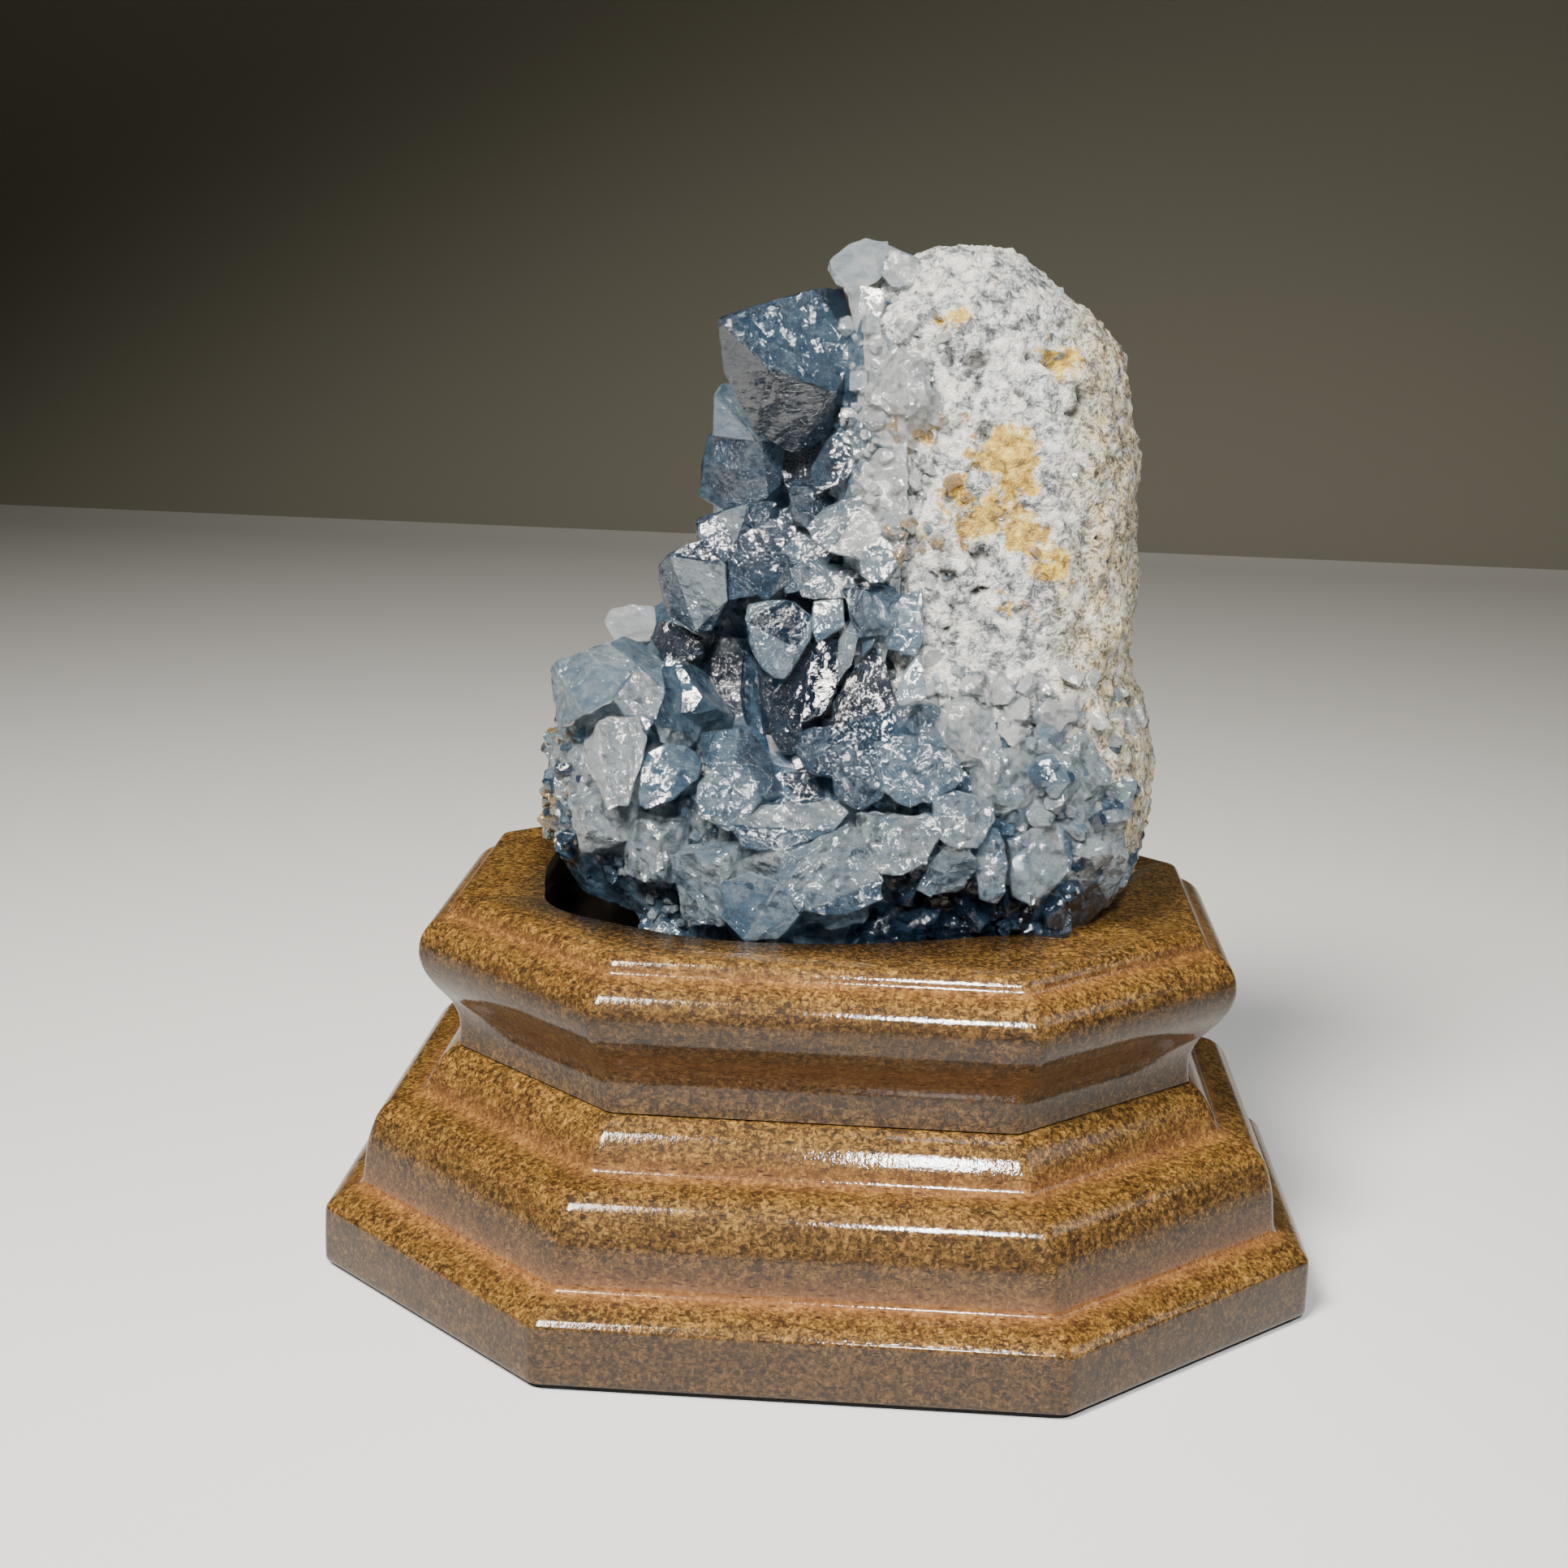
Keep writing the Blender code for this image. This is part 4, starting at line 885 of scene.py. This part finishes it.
def outside_of(grains, bodies):
    """The grains that don't sit on or in a large crystal."""
    tree, _ = searchable(bodies)
    kept = []
    for grain in grains:
        nearest, normal, _, away = tree.find_nearest(grain[2])
        if away > grain[3] * 0.3 and (grain[2] - nearest).dot(normal) > 0:
            kept.append(grain)
    return kept


def sugar_count(point, normal):
    """Small crystals to a square cm: many over the seam between crystals and rind and low on both sides."""
    x, y, z = point / MM
    if z < 53 or y > 6 or normal.y > 0.2 or normal.x > 0.5 or z < 64 and (x > 34 or x < -28):
        return 0.0
    seam = min(level(point, zone) for zone in CRYSTAL_ZONES)
    if x < -16 and z < 86:
        return 30.0 if z < 74 else 12.0
    if z < 78:
        return 22.0 if x > 10 else 9.0
    if x > 10 and z < 96:
        return 20.0 if z < 88 else 26.0 * max(0.0, 1 - (z - 88) / 10) + 3.0
    if x > -3 and seam < 1.0:
        return 20.0
    return max(1.5, 30.0 * (1.7 - seam)) if x > -3 else 1.0


def sugar_size(point):
    """How large the small crystals are, in mm, by region."""
    x, _, z = point / MM
    if x < -16:
        return 1.5 if x < -36 else 2.1
    if z < 96:
        return 2.7 if x > 10 else 2.4
    return 1.6 if min(level(point, zone) for zone in CRYSTAL_ZONES) < 1.3 else 0.9


def sugar(grounds, shapes, bodies, material):
    """Small crystals like coarse sugar, each its own closed grain, set in the crust and in the rind."""
    chance = random.Random(SEED + 2)
    spots = [spot for ground in grounds for spot in scatter(ground.data, sugar_count, chance)]
    grains = outside_of(grains_on(spots, shapes, sugar_size, 0.12, chance), bodies)
    piece = gathered(grains, "sugar", material)
    looks = []
    for mesh, _, middle, _ in grains:
        x, _, z = middle / MM
        shadow = max(0.0, min(1.0, (70 - z) / 8)) if x > 2 else 0.0
        # milky over the seam; painted shade: less milky, so darker, under the overhang
        look = (chance.uniform(0.0, 0.8) + (0.6 if z > 87 and x > -3 else 0.0) - 0.6 * shadow,
                chance.uniform(0.1, 0.9), 0.0, chance.random(),
                max(near_spots(middle, OCHRE_SPOTS), 0.6 * (x < -38) * chance.random()))
        looks += [look] * len(mesh.polygons)
    paint_looks(piece, looks)
    return piece


def block_count(point, normal):
    """Large broken crystals to a square cm, by region of the front."""
    x, y, z = point / MM
    if z < 50 or abs(normal.x) > 0.6 or x < -36 or y > 4 or x > 33 or x > 26 and z < 60:
        return 0.0
    if x < -22:
        return 2.5 if z < 84 else 0.6
    if z > 92 and x > -3:
        return 3.4
    if x > 12:
        return 4.0
    return 3.4 if z < 76 else 0.5


def block_size(point):
    """How large the broken crystals are, in mm, by region."""
    x, _, z = point / MM
    if x < -22 or z > 92:
        return 6.5
    return 7.0 if x > 12 else 9.5


def crystal_crust(rock, material):
    """All crystals and their layer, joined into one solid, then given each crystal's look face by face."""
    chance = random.Random(SEED)
    bodies = crystal_bodies(chance)
    crust = crust_layer()
    shapes = block_shapes(chance, 14)
    grains = grains_on(scatter(crust.data, block_count, chance), shapes, block_size, -0.2, chance)
    grains = outside_of(grains, bodies)
    grit = sugar([crust, rock], shapes, bodies, material)
    for body, _ in bodies:
        cut_or_join(crust, body, "UNION")
    groups = [gathered(group, "druse") for group in apart(grains)]
    for group in groups:
        cut_or_join(crust, group, "UNION")
    settle(crust)
    give_looks(crust, bodies, grains)
    fractured(crust)
    discard([body for body, _ in bodies] + groups)
    crust.data.materials.clear()
    crust.data.materials.append(material)
    return crust, grit


def give_looks(crust, bodies, grains):
    """Each face takes the look of the crystal it belongs to; small crystals are milky and broken."""
    tree, owners = searchable(bodies)
    chance = random.Random(SEED + 1)
    tints = [chance.random() for _ in bodies]
    small = KDTree(len(grains))
    for number, grain in enumerate(grains):
        small.insert(grain[2], number)
    small.balance()
    looks = []
    for face in crust.data.polygons:
        point = face.center
        found = tree.find_nearest(point, 0.02 * MM)
        if found[0] is not None:
            milky, broken, dusty = bodies[owners[found[2]]][1]
            tint = tints[owners[found[2]]] + 0.25 * math.sin(found[2] * 12.9898)
        else:
            _, number, _ = small.find(point)
            shade = random.Random(number)
            x, _, z = point / MM
            # painted shade: less milky, so darker, low on the right under the overhang
            shadow = max(0.0, min(1.0, (68 - z) / 7)) if x > 2 else 0.0
            # white over the seam, clear in the hollow
            base = 1.0 if z > 90 and x > 2 else 0.15 if -17 < x < 6 and z > 76 else 0.5
            milky = base + shade.uniform(-0.3, 0.3) - 0.6 * shadow
            broken = 0.7 + shade.uniform(-0.5, 0.3)
            dusty = 0.0
            tint = shade.random()
        ochre = near_spots(point, OCHRE_SPOTS) if face.area < 6 * MM ** 2 else 0.0
        looks.append((milky, broken, dusty, tint, ochre))
    paint_looks(crust, looks)


def studio():
    """A pale floor, a greyer backdrop that it curves up into, soft lights, and the photograph's camera."""
    bm = bmesh.new()
    rows = [(-0.9, 0.0), (0.9, 0.0)]
    steps = 16
    for step in range(1, steps + 1):
        angle = math.radians(90 * step / steps)
        rows.append((0.9 + 0.5 * math.sin(angle), 0.5 - 0.5 * math.cos(angle)))
    rows.append((1.4, 2.0))
    line = [bm.verts.new((-1.6, y, z)) for y, z in rows]
    edges = [bm.edges.new(pair) for pair in zip(line, line[1:])]
    swept = bmesh.ops.extrude_edge_only(bm, edges=edges)["geom"]
    bmesh.ops.translate(
        bm, vec=(3.2, 0, 0), verts=[part for part in swept if isinstance(part, bmesh.types.BMVert)])
    bmesh.ops.recalc_face_normals(bm, faces=bm.faces)
    # painted board: pale and nearly matt on the table, grey and matt behind it
    material, shader = new_material("pale_board", Roughness=0.55)
    shader.inputs["Base Color"].default_value = linear("#d8d8d6")
    floor = new_object("floor", bm, material, 60)
    wall, shader = new_material("grey_board", Roughness=0.7)
    shader.inputs["Base Color"].default_value = linear("#a19f91")
    floor.data.materials.append(wall)
    for face in floor.data.polygons:
        face.material_index = int(face.center.z > 0.004)

    def lamp(name, place, aim, size, power, colour, spread):
        """A soft light: size in metres, power in watts, spread in degrees."""
        light = bpy.data.lights.new(name, "AREA")
        light.shape = "RECTANGLE"
        light.size, light.size_y = size
        light.energy = power
        light.spread = math.radians(spread)
        light.color = linear(colour)[:3]
        item = bpy.data.objects.new(name, light)
        item.location = place
        item.rotation_euler = (Vector(aim) - Vector(place)).to_track_quat("-Z", "Y").to_euler()
        bpy.context.scene.collection.objects.link(item)

    lamp("key", (-0.32, -0.6, 0.74), (0.0, 0.0, 0.07), (0.28, 0.28), 5.5, "#fff8ee", 78)
    lamp("strip", (0.06, -0.62, 0.5), (0.02, 0.0, 0.05), (0.05, 0.1), 0.8, "#ffffff", 60)
    lamp("fill", (0.7, -0.1, 0.5), (0.0, 0.0, 0.05), (0.4, 0.4), 0.2, "#e6ecf4", 60)
    world = bpy.data.worlds.new("room")
    world.use_nodes = True
    world.node_tree.nodes["Background"].inputs[0].default_value = linear("#5d584c")
    world.node_tree.nodes["Background"].inputs[1].default_value = 0.35
    bpy.context.scene.world = world

    # measured from the stand's edges in the photograph: turned a little left, tipped down, and rolled
    yaw, pitch, roll = (math.radians(value) for value in (-2.808, 12.351, 2.079))
    ahead = Vector((math.sin(yaw) * math.cos(pitch), math.cos(yaw) * math.cos(pitch), -math.sin(pitch)))
    right = Vector((math.cos(yaw), -math.sin(yaw), 0))
    above = right.cross(ahead)
    across = right * math.cos(roll) + above * math.sin(roll)
    above = above * math.cos(roll) - right * math.sin(roll)
    pose = Matrix((across, above, -ahead)).transposed().to_4x4()
    pose.translation = Vector((0.01019, -0.37616, 0.15524))
    lens = bpy.data.cameras.new("camera")
    lens.sensor_width = 36.0
    # the photograph is 1932 px wide, and its lens looks from 3000 px away
    lens.lens = 3000 / 1932 * lens.sensor_width
    lens.clip_start = 0.01
    camera = bpy.data.objects.new("camera", lens)
    camera.matrix_world = pose
    bpy.context.scene.collection.objects.link(camera)
    bpy.context.scene.camera = camera


def in_recess(face):
    """Whether a face of the upper board belongs to the recess: within its edge, and not turned outwards."""
    x, y, z = face.center / MM
    within = RECESS_FLOOR - 0.1 < z < 57.7 and abs(x) < 49 and abs(y) < 41
    return within and face.normal.xy.dot(face.center.xy) < 1e-4


def main():
    """Stand, rock and crystals, each in place of its modelled solid, then the studio."""
    lacquer = lacquered_mdf()
    rind = limestone()
    crystal = celestite()
    tool = recess_tool()
    base = slab("base_board", BASE_MOULDING, lacquer)
    top = slab("top_board", TOP_MOULDING, lacquer)
    cut_or_join(top, tool, "DIFFERENCE", "EXACT")
    settle(top)
    discard([tool])
    # painted shade: marks the recess's faces, which the lacquer paints near-black
    paint(top, "inside", [float(in_recess(face)) for face in top.data.polygons])
    rock = rock_piece(rind)
    crust, grit = crystal_crust(rock, crystal)
    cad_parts["felt_pad"].data.materials[0] = wool_felt()
    for piece, node, slot in (
            (base, "stand_base", "lacquered_fibreboard"), (top, "stand_top", "lacquered_fibreboard"),
            (rock, "matrix", "limestone_rind"), (crust, "crystal_crust", "celestite")):
        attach(piece, "root")
        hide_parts(node)
    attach(grit, "root")
    studio()


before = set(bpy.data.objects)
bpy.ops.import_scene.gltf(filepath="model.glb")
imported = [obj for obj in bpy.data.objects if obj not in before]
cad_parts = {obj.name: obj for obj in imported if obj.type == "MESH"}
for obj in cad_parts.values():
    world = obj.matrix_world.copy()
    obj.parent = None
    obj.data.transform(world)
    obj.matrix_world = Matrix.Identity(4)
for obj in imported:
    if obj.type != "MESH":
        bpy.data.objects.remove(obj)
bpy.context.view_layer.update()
main()
